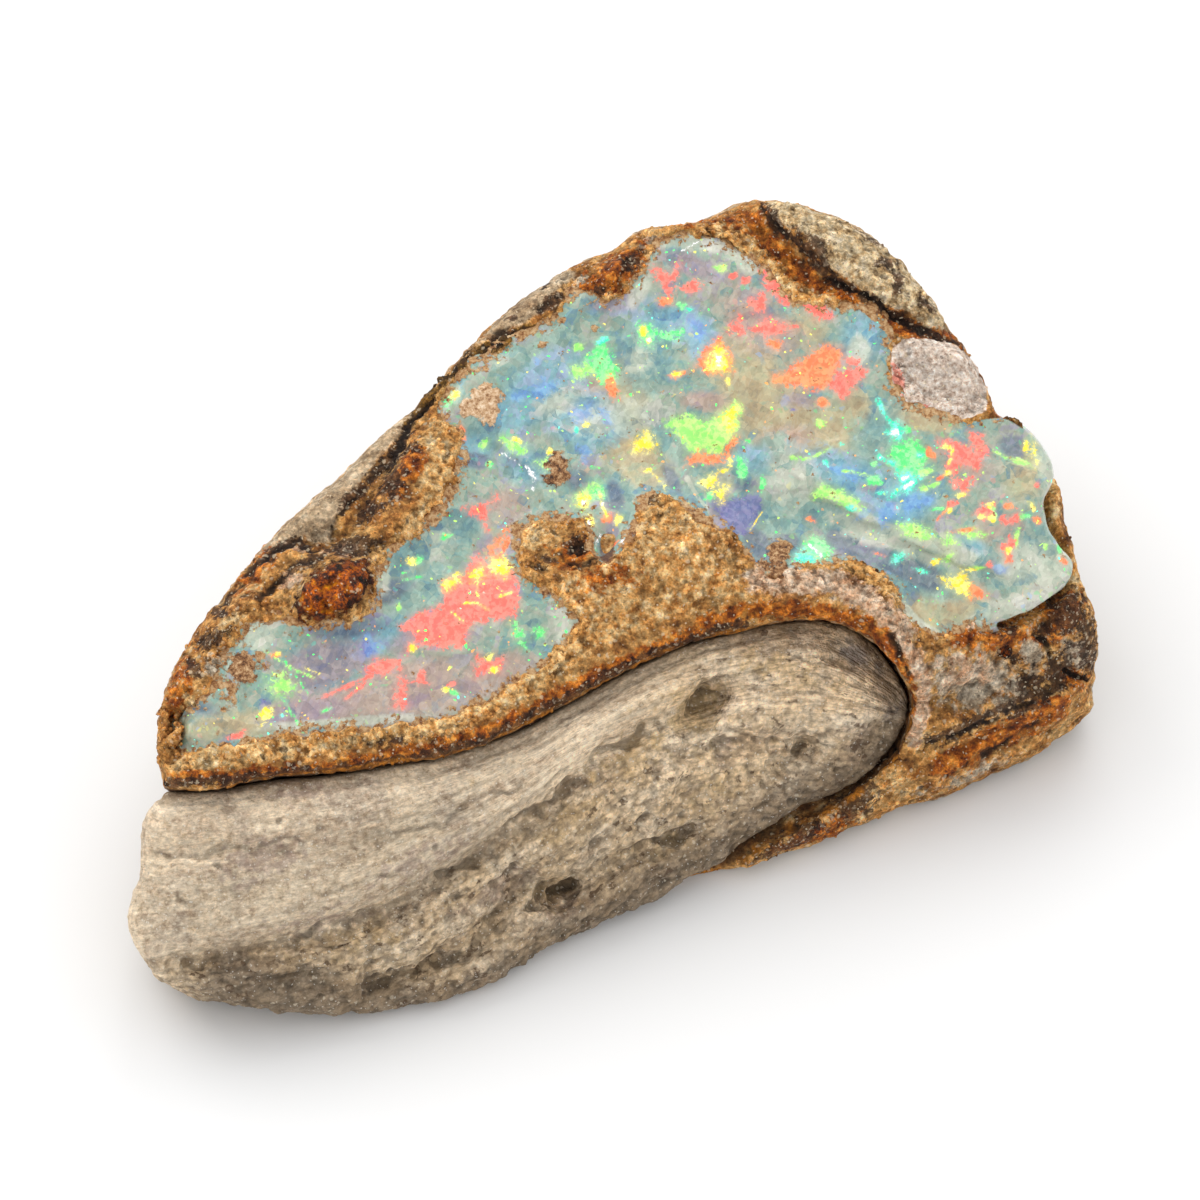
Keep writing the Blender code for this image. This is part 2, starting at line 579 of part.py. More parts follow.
def build_specimen():
    for old in list(bpy.data.objects):
        bpy.data.objects.remove(old, do_unlink=True)
    stone_piece(
        "opal", opal, (-27, -12, -12), (31, 25, 14), OPAL_TRIANGLES,
        stone_material("precious_opal", (0.52, 0.68, 0.66), 0.12), on_foot=False,
    )
    stone_piece(
        "sandstone_matrix", sandstone, (-30, -26, -26), (34, 28, 14), SANDSTONE_TRIANGLES,
        stone_material("iron_stained_sandstone", (0.42, 0.24, 0.12), 0.8), on_foot=True,
    )
    stone_piece(
        "siltstone_nodule", siltstone, (-31, -28, -20), (21, 1, 15), SILTSTONE_TRIANGLES,
        stone_material("pale_siltstone", (0.50, 0.45, 0.37), 0.9), on_foot=True,
    )


build_specimen()
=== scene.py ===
import math

import bmesh
import bpy
import numpy as np
from mathutils import Matrix, Vector
from mathutils.bvhtree import BVHTree


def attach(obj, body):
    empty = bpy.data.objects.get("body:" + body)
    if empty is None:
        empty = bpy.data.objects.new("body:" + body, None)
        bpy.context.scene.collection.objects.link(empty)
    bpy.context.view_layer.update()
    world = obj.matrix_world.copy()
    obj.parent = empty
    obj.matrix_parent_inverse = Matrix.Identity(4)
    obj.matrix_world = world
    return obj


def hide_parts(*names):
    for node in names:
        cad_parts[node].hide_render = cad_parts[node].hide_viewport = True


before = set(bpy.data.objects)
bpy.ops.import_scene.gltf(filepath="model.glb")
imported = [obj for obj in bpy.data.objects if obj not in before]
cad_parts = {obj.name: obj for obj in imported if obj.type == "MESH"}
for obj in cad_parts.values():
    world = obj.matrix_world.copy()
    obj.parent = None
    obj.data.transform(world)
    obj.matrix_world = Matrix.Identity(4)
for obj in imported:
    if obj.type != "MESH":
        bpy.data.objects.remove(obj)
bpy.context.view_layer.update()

# ---- The view ----
# The stone is seen from the front, a little from its left, and well from above, which is square on to the opal face.
# A place on the face is given in millimetres on the sight plane: u runs right, v up and w towards the viewer.
VIEW_AZIMUTH = math.radians(-20.0)
VIEW_ELEVATION = math.radians(50.0)
VIEW_CENTRE = np.array([1.5, -2.5, 12.0])  # u = v = w = 0
VIEW_WIDTH = 72.0
SIN_A, COS_A = math.sin(VIEW_AZIMUTH), math.cos(VIEW_AZIMUTH)
SIN_E, COS_E = math.sin(VIEW_ELEVATION), math.cos(VIEW_ELEVATION)
SIGHT = np.array([(COS_A, SIN_A, 0.0), (-SIN_A * SIN_E, COS_A * SIN_E, COS_E), (SIN_A * COS_E, -COS_A * COS_E, SIN_E)])


def into_scene(name, data):
    """A new object in the scene, at the origin."""
    thing = bpy.data.objects.new(name, data)
    bpy.context.scene.collection.objects.link(thing)
    return thing


camera = into_scene("camera", bpy.data.cameras.new("camera"))
bpy.context.scene.camera = camera
camera.data.lens = 600.0
camera.data.sensor_width = 36.0
distance = VIEW_WIDTH * camera.data.lens / camera.data.sensor_width
eye = (VIEW_CENTRE + distance * SIGHT[2]) * 0.001
camera.matrix_world = Matrix.Translation(eye) @ Matrix(SIGHT.T.tolist()).to_4x4()
camera.data.clip_start = 0.01
camera.data.clip_end = 10.0
bpy.context.scene.view_settings.view_transform = "Standard"


# ---- The siltstone nodule ----
# A long, pale, rounded body of hard silt that lies along the front of the stone.
# Its fine layers sweep from the left end up to the right, and the weather has worn them to low ribs, creases and pits.


def packed_solid(node, swell=0.0):
    """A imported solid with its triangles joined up, and swollen by so many mm."""
    edit = bmesh.new()
    edit.from_mesh(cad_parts[node].data)
    bmesh.ops.remove_doubles(edit, verts=edit.verts[:], dist=1e-6)
    edit.normal_update()
    for corner in edit.verts:
        corner.co += corner.normal * swell * 0.001
    return edit


def applied(blank):
    """The mesh that an object's modifiers make of it. The object itself is thrown away."""
    mesh = bpy.data.meshes.new_from_object(blank.evaluated_get(bpy.context.evaluated_depsgraph_get()))
    bpy.data.objects.remove(blank)
    return mesh


def worked_copy(node, *fillings, voxel):
    """An even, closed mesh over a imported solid, or over it and the closed meshes that fill it out."""
    mesh = bpy.data.meshes.new(node)
    edit = packed_solid(node)
    for filling in fillings:
        edit.from_mesh(filling)
    edit.to_mesh(mesh)
    edit.free()
    blank = into_scene(node + "_blank", mesh)
    remesh = blank.modifiers.new("even", "REMESH")
    remesh.mode = "VOXEL"
    remesh.voxel_size = voxel * 0.001
    remesh.adaptivity = 0.0
    even = applied(blank)
    even.materials.clear()
    return even


def gap_to(points, node, reach):
    """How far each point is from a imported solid, in mm and up to the reach."""
    edit = packed_solid(node)
    tree = BVHTree.FromBMesh(edit)
    edit.free()
    found = [tree.find_nearest(place, reach * 0.001)[3] for place in map(Vector, (points * 0.001).tolist())]
    return np.array([reach if gap is None else gap * 1000 for gap in found])


def points_of(mesh):
    flat = np.empty(len(mesh.vertices) * 3)
    mesh.vertices.foreach_get("co", flat)
    return flat.reshape(-1, 3) * 1000


def normals_of(mesh):
    flat = np.empty(len(mesh.vertices) * 3)
    mesh.vertices.foreach_get("normal", flat)
    return flat.reshape(-1, 3)


def place_points(mesh, points):
    mesh.vertices.foreach_set("co", (points * 0.001).ravel())
    mesh.update()


def neighbour_mean(mesh, values):
    """The mean of each vertex's neighbours."""
    ends = np.empty(len(mesh.edges) * 2, int)
    mesh.edges.foreach_get("vertices", ends)
    a, b = ends.reshape(-1, 2).T
    count = len(mesh.vertices)
    total = np.zeros(values.shape)
    for axis in range(values.shape[1]):
        total[:, axis] = np.bincount(a, values[b, axis], count) + np.bincount(b, values[a, axis], count)
    return total / (np.bincount(a, minlength=count) + np.bincount(b, minlength=count))[:, None]


def relax(mesh, rounds):
    """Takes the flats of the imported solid's triangles out of the surface, with hardly any shrinking."""
    points = points_of(mesh)
    for turn in range(rounds):
        for share in (0.6, -0.55):
            points += share * (neighbour_mean(mesh, points) - points)
    place_points(mesh, points)


def sight_places(points):
    """u, v and w of points given in the stone's frame."""
    return (points - VIEW_CENTRE) @ SIGHT.T


def smooth_route(points, closed=False, steps=6):
    """Points along a smooth curve through the given ones."""
    points = np.array(points, float)
    if closed:
        before, here, after, beyond = (np.roll(points, shift, axis=0) for shift in (1, 0, -1, -2))
    else:
        padded = np.vstack([2 * points[0] - points[1], points, 2 * points[-1] - points[-2]])
        before, here, after, beyond = padded[:-3], padded[1:-2], padded[2:-1], padded[3:]
    curve = []
    for t in np.arange(steps) / steps:
        curve.append(
            0.5 * (2 * here + (after - before) * t + (2 * before - 5 * here + 4 * after - beyond) * t**2
                   + (3 * here - before - 3 * after + beyond) * t**3)
        )
    curve = np.stack(curve, axis=1).reshape(-1, 2)
    return curve if closed else np.vstack([curve, points[-1]])


def from_route(place, route, closed=False, steps=6):
    """Distance from each place to a route on the sight plane, and the side that it is on: +1 left, -1 right."""
    route = smooth_route(route, closed, steps)
    ends = np.roll(route, -1, axis=0) if closed else route[1:]
    nearest = np.full(len(place), np.inf)
    side = np.ones(len(place))
    for start, end in zip(route, ends):
        run = end - start
        offset = place[:, :2] - start
        along = np.clip(offset @ run / (run @ run), 0, 1)
        gap = offset - along[:, None] * run
        squared = (gap**2).sum(axis=1)
        closer = squared < nearest
        nearest[closer] = squared[closer]
        side[closer] = np.sign(run[0] * gap[closer, 1] - run[1] * gap[closer, 0])
    return np.sqrt(nearest), side


def outside(place, outline, steps=3):
    """Signed distance to a closed outline on the sight plane: negative inside."""
    distance, _ = from_route(place, outline, True, steps)
    crossings = np.zeros(len(place), int)
    route = smooth_route(outline, True, steps)
    u, v = place[:, 0], place[:, 1]
    for (u0, v0), (u1, v1) in zip(route, np.roll(route, -1, axis=0)):
        if v0 != v1:
            crossings += ((v0 > v) != (v1 > v)) & (u < u0 + (v - v0) * (u1 - u0) / (v1 - v0))
    return np.where(crossings % 2 == 1, -distance, distance)


def off_sight(place):
    """The points, in the stone's frame, of places given as u, v and w."""
    return VIEW_CENTRE + place @ SIGHT


def soft_step(x):
    x = np.clip(x, 0, 1)
    return x * x * (3 - 2 * x)


def stretched(place, spot):
    """How far each place is from a spot's centre: 1 on its rim. A spot is (u, v, half length, half width, angle)."""
    turn = math.radians(spot[4])
    along = (place[:, 0] - spot[0]) * math.cos(turn) + (place[:, 1] - spot[1]) * math.sin(turn)
    across = (place[:, 1] - spot[1]) * math.cos(turn) - (place[:, 0] - spot[0]) * math.sin(turn)
    return np.hypot(along / spot[2], across / spot[3])


def dome(place, spot, height):
    return height * soft_step(1.35 - 0.9 * stretched(place, spot))


def ridge(place, route, half_width, height):
    return height * np.exp(-((from_route(place, route)[0] / half_width) ** 2))


def patches(place, spots=(), routes=()):
    """A field that is 1 in the middle of the spots and routes, 0.5 on their rims and 0 well outside."""
    field = np.zeros(len(place))
    for spot in spots:
        strength = spot[5] if len(spot) > 5 else 1.0
        field = np.maximum(field, strength * (1 - 0.5 * stretched(place, spot)))
    for half_width, route in routes:
        field = np.maximum(field, 1 - 0.5 * from_route(place, route)[0] / half_width)
    return field


def lumps(points, size, seed):
    """Smooth random swellings between -1 and 1, about one to each size, which may differ along the three axes."""
    lattice = np.random.default_rng(seed).uniform(-1, 1, (32, 32, 32))
    place = points / size + 200
    cell = np.floor(place).astype(int)
    part = soft_step(place - cell)
    total = np.zeros(len(points))
    for corner in np.ndindex(2, 2, 2):
        weight = np.where(corner, part, 1 - part).prod(axis=1)
        at = (cell + corner) % 32
        total += weight * lattice[at[:, 0], at[:, 1], at[:, 2]]
    return total


def rough_relief(points, size, seed, octaves=4, fall=0.55):
    total, weight = np.zeros(len(points)), 1.0
    for octave in range(octaves):
        total += weight * lumps(points, size / 2**octave, seed + octave)
        weight *= fall
    return total


def wandering(points, reach, size, seed, octaves):
    """Random offsets in u and v, to lead a line astray."""
    u, v = (rough_relief(points, size, seed + axis, octaves) for axis in (0, 1))
    return reach * np.stack([u, v, 0 * u], axis=1)


def nearest_seed(points, size, seed):
    """Distance to the nearest of the seeds scattered one to a cube of the given size, in sizes, and a random number
    that belongs to that seed."""
    generator = np.random.default_rng(seed)
    jitter = generator.uniform(0.1, 0.9, (16, 16, 16, 3))
    lot = generator.uniform(0, 1, (16, 16, 16))
    place = points / size + 200
    cell = np.floor(place).astype(int)
    nearest = np.full(len(points), np.inf)
    number = np.zeros(len(points))
    for step in np.ndindex(3, 3, 3):
        near = cell + np.array(step) - 1
        at = tuple((near % 16).T)
        squared = ((near + jitter[at] - place) ** 2).sum(axis=1)
        closer = squared < nearest
        nearest[closer] = squared[closer]
        number[closer] = lot[at][closer]
    return np.sqrt(nearest), number


def cavities(mesh, rounds):
    """How far each vertex lies below the smoothed surface round it, in mm: above 0 in a hollow, below 0 on a knob."""
    points = points_of(mesh)
    smoothed = points.copy()
    for turn in range(rounds):
        smoothed += 0.7 * (neighbour_mean(mesh, smoothed) - smoothed)
    return ((smoothed - points) * normals_of(mesh)).sum(axis=1)


def store(mesh, name, values):
    """Keeps a number or a vector for each vertex where the material can read it."""
    values = np.asarray(values, np.float32)
    kind, key = ("FLOAT", "value") if values.ndim == 1 else ("FLOAT_VECTOR", "vector")
    mesh.attributes.new(name, kind, "POINT").data.foreach_set(key, values.ravel())


def finish_piece(name, mesh, node, material):
    """Hangs the worked mesh on the stone in place of its plain solid."""
    mesh.materials.append(material)
    mesh.shade_smooth()
    piece = into_scene(name, mesh)
    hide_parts(node)
    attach(piece, "root")


# Shader parts that the three rocks share.


def linear(red, green, blue):
    """A paint-chart colour, 0 to 255, as the shader wants it."""
    return tuple(c / 3294.6 if c <= 10 else ((c / 255 + 0.055) / 1.055) ** 2.4 for c in (red, green, blue)) + (1.0,)


def feed(node, inputs):
    """Gives a node its inputs, each either another node's output or a value."""
    for key, value in inputs.items():
        if isinstance(value, bpy.types.NodeSocket):
            node.id_data.links.new(value, node.inputs[key])
        else:
            node.inputs[key].default_value = value


def add(tree, kind, inputs=None, **settings):
    """A new node with its inputs fed and its settings made."""
    node = tree.nodes.new(kind)
    for key, value in settings.items():
        setattr(node, key, value)
    feed(node, inputs or {})
    return node


def tree_of(*values):
    """The tree that the first node output among some values belongs to."""
    return next(value for value in values if isinstance(value, bpy.types.NodeSocket)).id_data


def maths(operation, *values):
    """A sum whose terms are node outputs or numbers."""
    return add(tree_of(*values), "ShaderNodeMath", dict(enumerate(values)), operation=operation).outputs[0]


def plus(a, b):
    return maths("ADD", a, b)


def minus(a, b):
    return maths("SUBTRACT", a, b)


def times(a, b):
    return maths("MULTIPLY", a, b)


def times_plus(a, b, c):
    return maths("MULTIPLY_ADD", a, b, c)


def most(a, b):
    return maths("MAXIMUM", a, b)


def drawn_out(place, shares):
    """The place with each axis scaled by its share, so that what is drawn there is stretched."""
    return add(place.id_data, "ShaderNodeVectorMath", {0: place, 1: shares}, operation="MULTIPLY").outputs[0]


def bent_by(place, wave, reach):
    """The place moved about by a wave, so that what is drawn there has no straight edges."""
    inputs = {0: wave, 1: (reach, reach, reach), 2: place}
    return add(place.id_data, "ShaderNodeVectorMath", inputs, operation="MULTIPLY_ADD").outputs[0]


def lots_of(colour):
    """The three numbers that a random colour holds."""
    return add(colour.id_data, "ShaderNodeSeparateColor", {0: colour}).outputs


def mixed(share, a, b, blend="MIX"):
    """Two colours mixed. A colour of three numbers is from the paint chart."""
    a, b = (linear(*c) if isinstance(c, tuple) and len(c) == 3 else c for c in (a, b))
    inputs = {0: share, 6: a, 7: b}
    return add(tree_of(share, a, b), "ShaderNodeMix", inputs, data_type="RGBA", blend_type=blend).outputs[2]


def shaded(colour, shade):
    """The colour made darker or lighter by a number."""
    grey = add(colour.id_data, "ShaderNodeCombineColor", {0: shade, 1: shade, 2: shade}).outputs[0]
    return mixed(1.0, colour, grey, "MULTIPLY")


def evenly(value, low, high, to_low, to_high, kind="LINEAR"):
    """The value moved from between two limits to between two others."""
    inputs = {0: value, 1: low, 2: high, 3: to_low, 4: to_high}
    return add(value.id_data, "ShaderNodeMapRange", inputs, interpolation_type=kind).outputs[0]


def between(value, low, high, to_low=0.0, to_high=1.0):
    """Like evenly, but it eases in and out."""
    return evenly(value, low, high, to_low, to_high, "SMOOTHSTEP")


def chart(value, stops, constant=False):
    """Colours along a value."""
    node = add(value.id_data, "ShaderNodeValToRGB", {0: value})
    node.color_ramp.interpolation = "CONSTANT" if constant else "LINEAR"
    elements = node.color_ramp.elements
    while len(elements) < len(stops):
        elements.new(0.5)
    for element, (position, colour) in zip(elements, stops):
        element.position = position
        element.color = linear(*colour)
    return node.outputs[0]


def in_mm(tree):
    """The place on the stone in millimetres."""
    place = add(tree, "ShaderNodeTexCoord").outputs["Object"]
    return add(tree, "ShaderNodeVectorMath", {0: place, "Scale": 1000.0}, operation="SCALE").outputs[0]


def noise(place, size, detail=4.0, roughness=0.55, distortion=0.0, kind="Fac"):
    inputs = {"Vector": place, "Scale": 1 / size, "Detail": detail, "Roughness": roughness, "Distortion": distortion}
    return add(place.id_data, "ShaderNodeTexNoise", inputs).outputs[kind]


def cells(place, size):
    return add(place.id_data, "ShaderNodeTexVoronoi", {"Vector": place, "Scale": 1 / size}).outputs


def stored(tree, name, kind="Fac"):
    return add(tree, "ShaderNodeAttribute", attribute_name=name).outputs[kind]


def new_material(name):
    """A new material, with its tree and its shader."""
    material = bpy.data.materials.new(name)
    material.use_nodes = True
    return material, material.node_tree, material.node_tree.nodes["Principled BSDF"]


def finish_surface(shader, colour, roughness, height, strength, distance):
    """Joins up the shader: its colour, its roughness and a bump."""
    bump = add(height.id_data, "ShaderNodeBump", {"Strength": strength, "Distance": distance, "Height": height})
    feed(shader, {"Base Color": colour, "Roughness": roughness, "Normal": bump.outputs[0]})


def new_group(name, inputs, outputs):
    """A new group of nodes, with its inputs and outputs."""
    group = bpy.data.node_groups.new(name, "ShaderNodeTree")
    for title, kind, value in inputs:
        socket = group.interface.new_socket(title, in_out="INPUT", socket_type=kind)
        socket.default_value = value
    for title, kind in outputs:
        group.interface.new_socket(title, in_out="OUTPUT", socket_type=kind)
    return group, group.nodes.new("NodeGroupInput").outputs, group.nodes.new("NodeGroupOutput").inputs


def use(tree, group, inputs):
    return add(tree, "ShaderNodeGroup", inputs, node_tree=group).outputs


# A patch with a ragged rim: its field is 0.5 on the rim before the noise eats into it.
ragged, given, out = new_group(
    "ragged_patch",
    [("Field", "NodeSocketFloat", 0.0), ("Size", "NodeSocketFloat", 1.0), ("Ragged", "NodeSocketFloat", 0.4),
     ("Softness", "NodeSocketFloat", 0.06)],
    [("Mask", "NodeSocketFloat")],
)
size = maths("DIVIDE", 1.0, given["Size"])
wander = add(ragged, "ShaderNodeTexNoise", {"Vector": in_mm(ragged), "Scale": size, "Detail": 6.0, "Roughness": 0.65})
wander = minus(wander.outputs["Fac"], 0.5)
field = times_plus(wander, times(given["Ragged"], 4.0), given["Field"])
low, high = minus(0.5, given["Softness"]), plus(0.5, given["Softness"])
ragged.links.new(between(field, low, high), out["Mask"])


def ragged_mask(field, size, ragged_by, softness):
    inputs = {"Field": field, "Size": size, "Ragged": ragged_by, "Softness": softness}
    return use(field.id_data, ragged, inputs)["Mask"]


def ragged_paint(colour, name, paint, size, ragged_by, softness, share=1.0):
    """Lays ragged paint over the colour: stains, zones of other rock, and among the dark patches painted shadow; the
    paint may be a colour or another socket.
    """
    mask = ragged_mask(stored(colour.id_data, name), size, ragged_by, softness)
    if share != 1.0:
        mask = times(mask, share)
    return mixed(mask, colour, paint), mask


# The grain of a clastic rock: each grain its own shade, dark chinks between some of them, and specks.
grain, given, out = new_group(
    "rock_grain",
    [("Size", "NodeSocketFloat", 0.25), ("Speck", "NodeSocketFloat", 0.5)],
    [("Shade", "NodeSocketFloat"), ("Dark specks", "NodeSocketFloat"), ("Pale specks", "NodeSocketFloat"),
     ("Height", "NodeSocketFloat")],
)
place = in_mm(grain)
bend = add(grain, "ShaderNodeTexNoise", {"Vector": place, "Scale": 2.5, "Detail": 3.0}).outputs["Color"]
bent = bent_by(place, bend, 0.35)
size = maths("DIVIDE", 1.0, given["Size"])
fine = add(grain, "ShaderNodeTexVoronoi", {"Vector": bent, "Scale": size}).outputs
coarse = add(grain, "ShaderNodeTexVoronoi", {"Vector": bent, "Scale": times(size, 0.45)}).outputs
cloud = add(grain, "ShaderNodeTexNoise", {"Vector": place, "Scale": times(size, 1.4), "Detail": 5.0,
                                          "Roughness": 0.7}).outputs["Fac"]
lot = lots_of(fine["Color"])
other = lots_of(coarse["Color"])
shade = plus(times(lot[0], 0.55), times(cloud, 0.9))
grain.links.new(minus(shade, 0.22), out["Shade"])
near = between(fine["Distance"], 0.38, 0.2)
dark = times(near, between(lot[1], minus(1.0, times(given["Speck"], 0.2)), 1.0))
far = between(coarse["Distance"], 0.22, 0.1)
grain.links.new(most(dark, times(far, between(other[1], 0.8, 0.82))), out["Dark specks"])
grain.links.new(times(near, between(lot[2], 0.84, 0.86)), out["Pale specks"])
height = minus(times(cloud, 1.2), times(fine["Distance"], 0.6))
grain.links.new(height, out["Height"])

SEAM = [(-25.8, -11.8), (-19.7, -11.1), (-13.0, -10.2), (-7.1, -8.9), (-1.9, -6.5), (3.6, -3.6), (8.8, -2.0),
        (14.0, -1.6), (17.5, -4.4), (18.3, -6.3), (17.6, -8.4), (16.4, -10.1)]
SHOULDER = [(-29.0, -21.8), (-19.2, -20.2), (-13.5, -18.7), (-8.2, -15.6), (-3.6, -12.6), (0.1, -9.8), (6.4, -7.4),
            (12.0, -6.6), (20.0, -7.0)]
NODULE_CREASES = [  # half width, depth, route
    (0.30, 0.55, [(-24.7, -21.4), (-19.2, -20.2), (-13.5, -18.7), (-8.2, -15.6), (-3.6, -12.6), (0.1, -9.4),
                  (3.4, -7.5)]),
    (0.35, 0.70, [(-13.5, -23.1), (-10.0, -21.6), (-7.2, -20.4), (-4.8, -17.1), (-2.4, -17.4), (1.5, -15.6),
                  (5.5, -13.6)]),
    (0.25, 0.30, [(-26.0, -15.0), (-18.0, -14.6), (-10.5, -13.4), (-5.0, -11.0)]),
    (0.25, 0.30, [(-25.5, -17.4), (-18.4, -17.2), (-12.0, -16.2), (-7.0, -13.6), (-2.0, -10.2), (2.6, -7.6)]),
    (0.30, 0.35, [(3.6, -9.8), (8.4, -8.6), (13.2, -8.4)]),
    (0.22, 0.30, [(4.4, -5.2), (8.6, -4.2), (12.6, -3.4), (15.8, -4.6)]),
    (0.22, 0.25, [(5.4, -6.2), (9.6, -5.2), (13.4, -4.6), (16.4, -6.4)]),
    (0.30, 0.40, [(-8.8, -22.8), (-4.4, -21.4), (0.6, -18.8), (5.6, -16.6)]),
    (0.25, 0.35, [(-20.4, -22.8), (-15.6, -22.2), (-10.8, -22.8)]),
]
NODULE_PITS = [  # spot, depth
    ((-2.7, -17.6, 0.6, 0.36, 20), 0.9), ((-1.9, -17.2, 0.34, 0.26, 10), 0.6), ((-5.2, -16.2, 0.5, 0.25, 55), 0.4),
    ((5.9, -5.9, 0.8, 0.34, 60), 0.4), ((11.9, -8.9, 0.6, 0.3, 50), 0.4), ((-8.6, -17.6, 0.9, 0.35, 25), 0.4),
    ((-4.0, -18.3, 0.5, 0.3, 0), 0.4), ((-13.8, -21.9, 0.5, 0.25, 40), 0.4), ((-15.6, -20.6, 0.6, 0.25, 10), 0.35),
    ((-22.8, -15.9, 0.35, 0.25, 0), 0.25), ((-0.2, -14.6, 0.6, 0.3, 40), 0.35), ((2.6, -13.2, 0.5, 0.3, 40), 0.35),
]

nodule = worked_copy("siltstone_nodule", voxel=0.17)
relax(nodule, 5)
points, normals = points_of(nodule), normals_of(nodule)
place = sight_places(points)
facing = normals @ SIGHT[2]
to_seam, _ = from_route(place, SEAM)
to_shoulder, side = from_route(place, SHOULDER)
lane = np.where(side > 0, 8 * to_shoulder / (to_shoulder + to_seam + 1e-6), -to_shoulder)
along = place[:, 0] * 0.92 + place[:, 1] * 0.39
flow = np.stack([along, lane * 1.1, 0.25 * place[:, 2]], axis=1)
lower = soft_step(0.5 - side * to_shoulder / 2.0)
relief = 0.10 * lumps(flow, np.array([7.0, 1.3, 2.0]), 31) + 0.05 * lumps(flow, np.array([3.2, 0.46, 2.0]), 32)
relief += 0.035 * lumps(flow, np.array([1.6, 0.24, 2.0]), 33)
relief += (0.05 + 0.15 * lower) * rough_relief(points, 1.7, 34, 4) + (0.03 + 0.04 * lower) * rough_relief(points, 0.42,
                                                                                                          39, 2)
crumb, crumb_lot = nearest_seed(points + 0.25 * lumps(points, 0.5, 52)[:, None], 0.75, 53)
relief += (0.05 + 0.25 * lower) * (0.55 - crumb) * (crumb_lot - 0.1)
hollow = np.zeros(len(points))
wander = wandering(points, 0.6, 1.6, 45, 3)
broken_up = soft_step(0.5 + 0.9 * lumps(points, 1.7, 47))
for half_width, depth, route in NODULE_CREASES:
    hollow += ridge(place + wander, route, half_width, 0.75 * depth) * broken_up
wander = 0.3 * rough_relief(points, 0.7, 48, 3)[:, None]
for spot, depth in NODULE_PITS:
    hollow += dome(place + wander, spot, depth)
near, lot = nearest_seed(points, 1.15, 51)
small_pits = soft_step(1.0 - near / 0.26) * (lot < 0.16 + 0.25 * lower)
hollow += 0.22 * small_pits
joint = soft_step((0.9 - gap_to(points, "sandstone_matrix", 1.0)) / 0.4)
points = points + normals * (relief * (1 - 0.6 * joint) - hollow + 0.34 * joint)[:, None]
points[:, 2] = np.maximum(points[:, 2], 0.0)
place_points(nodule, points)
store(nodule, "cavity", cavities(nodule, 5))
store(nodule, "flow", flow)
store(nodule, "hollow", hollow)
store(nodule, "lower", lower)
store(nodule, "crumbly", np.maximum(lower, 0.85 * soft_step((place[:, 0] + 2.0) / 9.0)))
store(nodule, "seam", to_seam)
store(nodule, "ochre", patches(place, [
    (5.6, -6.6, 1.8, 1.2, 50), (2.0, -9.4, 2.4, 1.0, 30, 0.8), (10.6, -4.2, 2.6, 0.8, -10, 0.8),
    (-2.4, -13.4, 2.6, 0.9, 35, 0.6), (7.2, -10.8, 2.2, 1.2, 30, 0.7), (-14.2, -20.4, 3.0, 1.0, 15, 0.6),
    (3.8, -14.6, 2.4, 0.8, 25, 0.6), (-2.8, -17.8, 1.2, 0.7, 10, 0.8)]))
store(nodule, "mauve", patches(place, [
    (-18.2, -11.6, 1.6, 0.35, 5), (-20.2, -15.6, 2.4, 1.2, 10, 0.8), (-10.4, -15.4, 3.2, 0.9, 25, 0.6),
    (-5.8, -17.2, 2.4, 0.5, 25, 0.9), (-2.2, -18.2, 1.4, 0.7, 10, 0.9), (8.6, -8.8, 1.8, 0.9, 35, 0.8),
    (15.4, -8.6, 1.2, 0.8, 60, 0.8), (-16.0, -19.0, 3.0, 0.7, 10, 0.7)]))
pale_end = soft_step((patches(place, routes=[(3.0, [(0.6, -10.6), (6.8, -8.4), (11.6, -6.2),
                                                    (15.2, -3.8)])]) - 0.25) / 0.5)
grey_flank = soft_step((patches(place, routes=[(2.0, [(-25.4, -18.2), (-19.4, -17.4), (-13.2, -16.0),
                                                      (-7.6, -13.6)])]) - 0.25) / 0.5)
# The foot: the colour below makes it darker and warmer along the bottom edge of the nodule.
darker_foot = soft_step((patches(place, routes=[(1.9, [(-22.0, -22.8), (-14.4, -24.4), (-8.0, -24.6), (-4.4, -22.6),
                                                      (-0.8, -20.2), (3.4, -17.8), (8.0, -15.6), (12.0, -12.8),
                                                      (15.6, -11.0), (17.6, -9.4)])]) - 0.2) / 0.6)
store(nodule, "tone", 1.0 + 0.22 * pale_end - 0.18 * grey_flank - 0.54 * darker_foot)
store(nodule, "darker_foot", darker_foot)
store(nodule, "slate", patches(place, [(17.2, -5.4, 0.8, 1.7, 10), (15.3, -3.2, 1.0, 0.8, -40, 0.9)]))

siltstone, tree, shader = new_material("pale_siltstone")
mm = in_mm(tree)
lanes = stored(tree, "flow", "Vector")
thin = drawn_out(lanes, (0.10, 1.0, 0.3))
layers = noise(thin, 0.85, 6.0, 0.65)
threads = noise(drawn_out(lanes, (0.30, 1.0, 0.5)), 0.14, 4.0, 0.7)
clouds = noise(mm, 3.4, 5.0, 0.6)
mottle = noise(mm, 0.5, 5.0, 0.7)
grains = use(tree, grain, {"Size": 0.16, "Speck": 0.35})
chips = use(tree, grain, {"Size": 0.36, "Speck": 0.9})
colour = chart(layers, [(0.30, (152, 128, 104)), (0.45, (194, 170, 142)), (0.56, (216, 194, 164)),
                        (0.72, (232, 214, 188))])
colour = mixed(between(clouds, 0.48, 0.66), colour, (214, 192, 162))
colour = mixed(between(clouds, 0.46, 0.34, 0, 0.7), colour, (170, 150, 130))
colour = mixed(times(between(mottle, 0.40, 0.66), 0.6), colour, (232, 216, 190))
colour = mixed(times(between(mottle, 0.46, 0.30), 0.55), colour, (132, 106, 78))
colour, _ = ragged_paint(colour, "ochre", (176, 146, 92), 0.9, 0.7, 0.3, 0.6)
colour, _ = ragged_paint(colour, "mauve", (150, 126, 118), 0.7, 0.7, 0.25, 0.5)
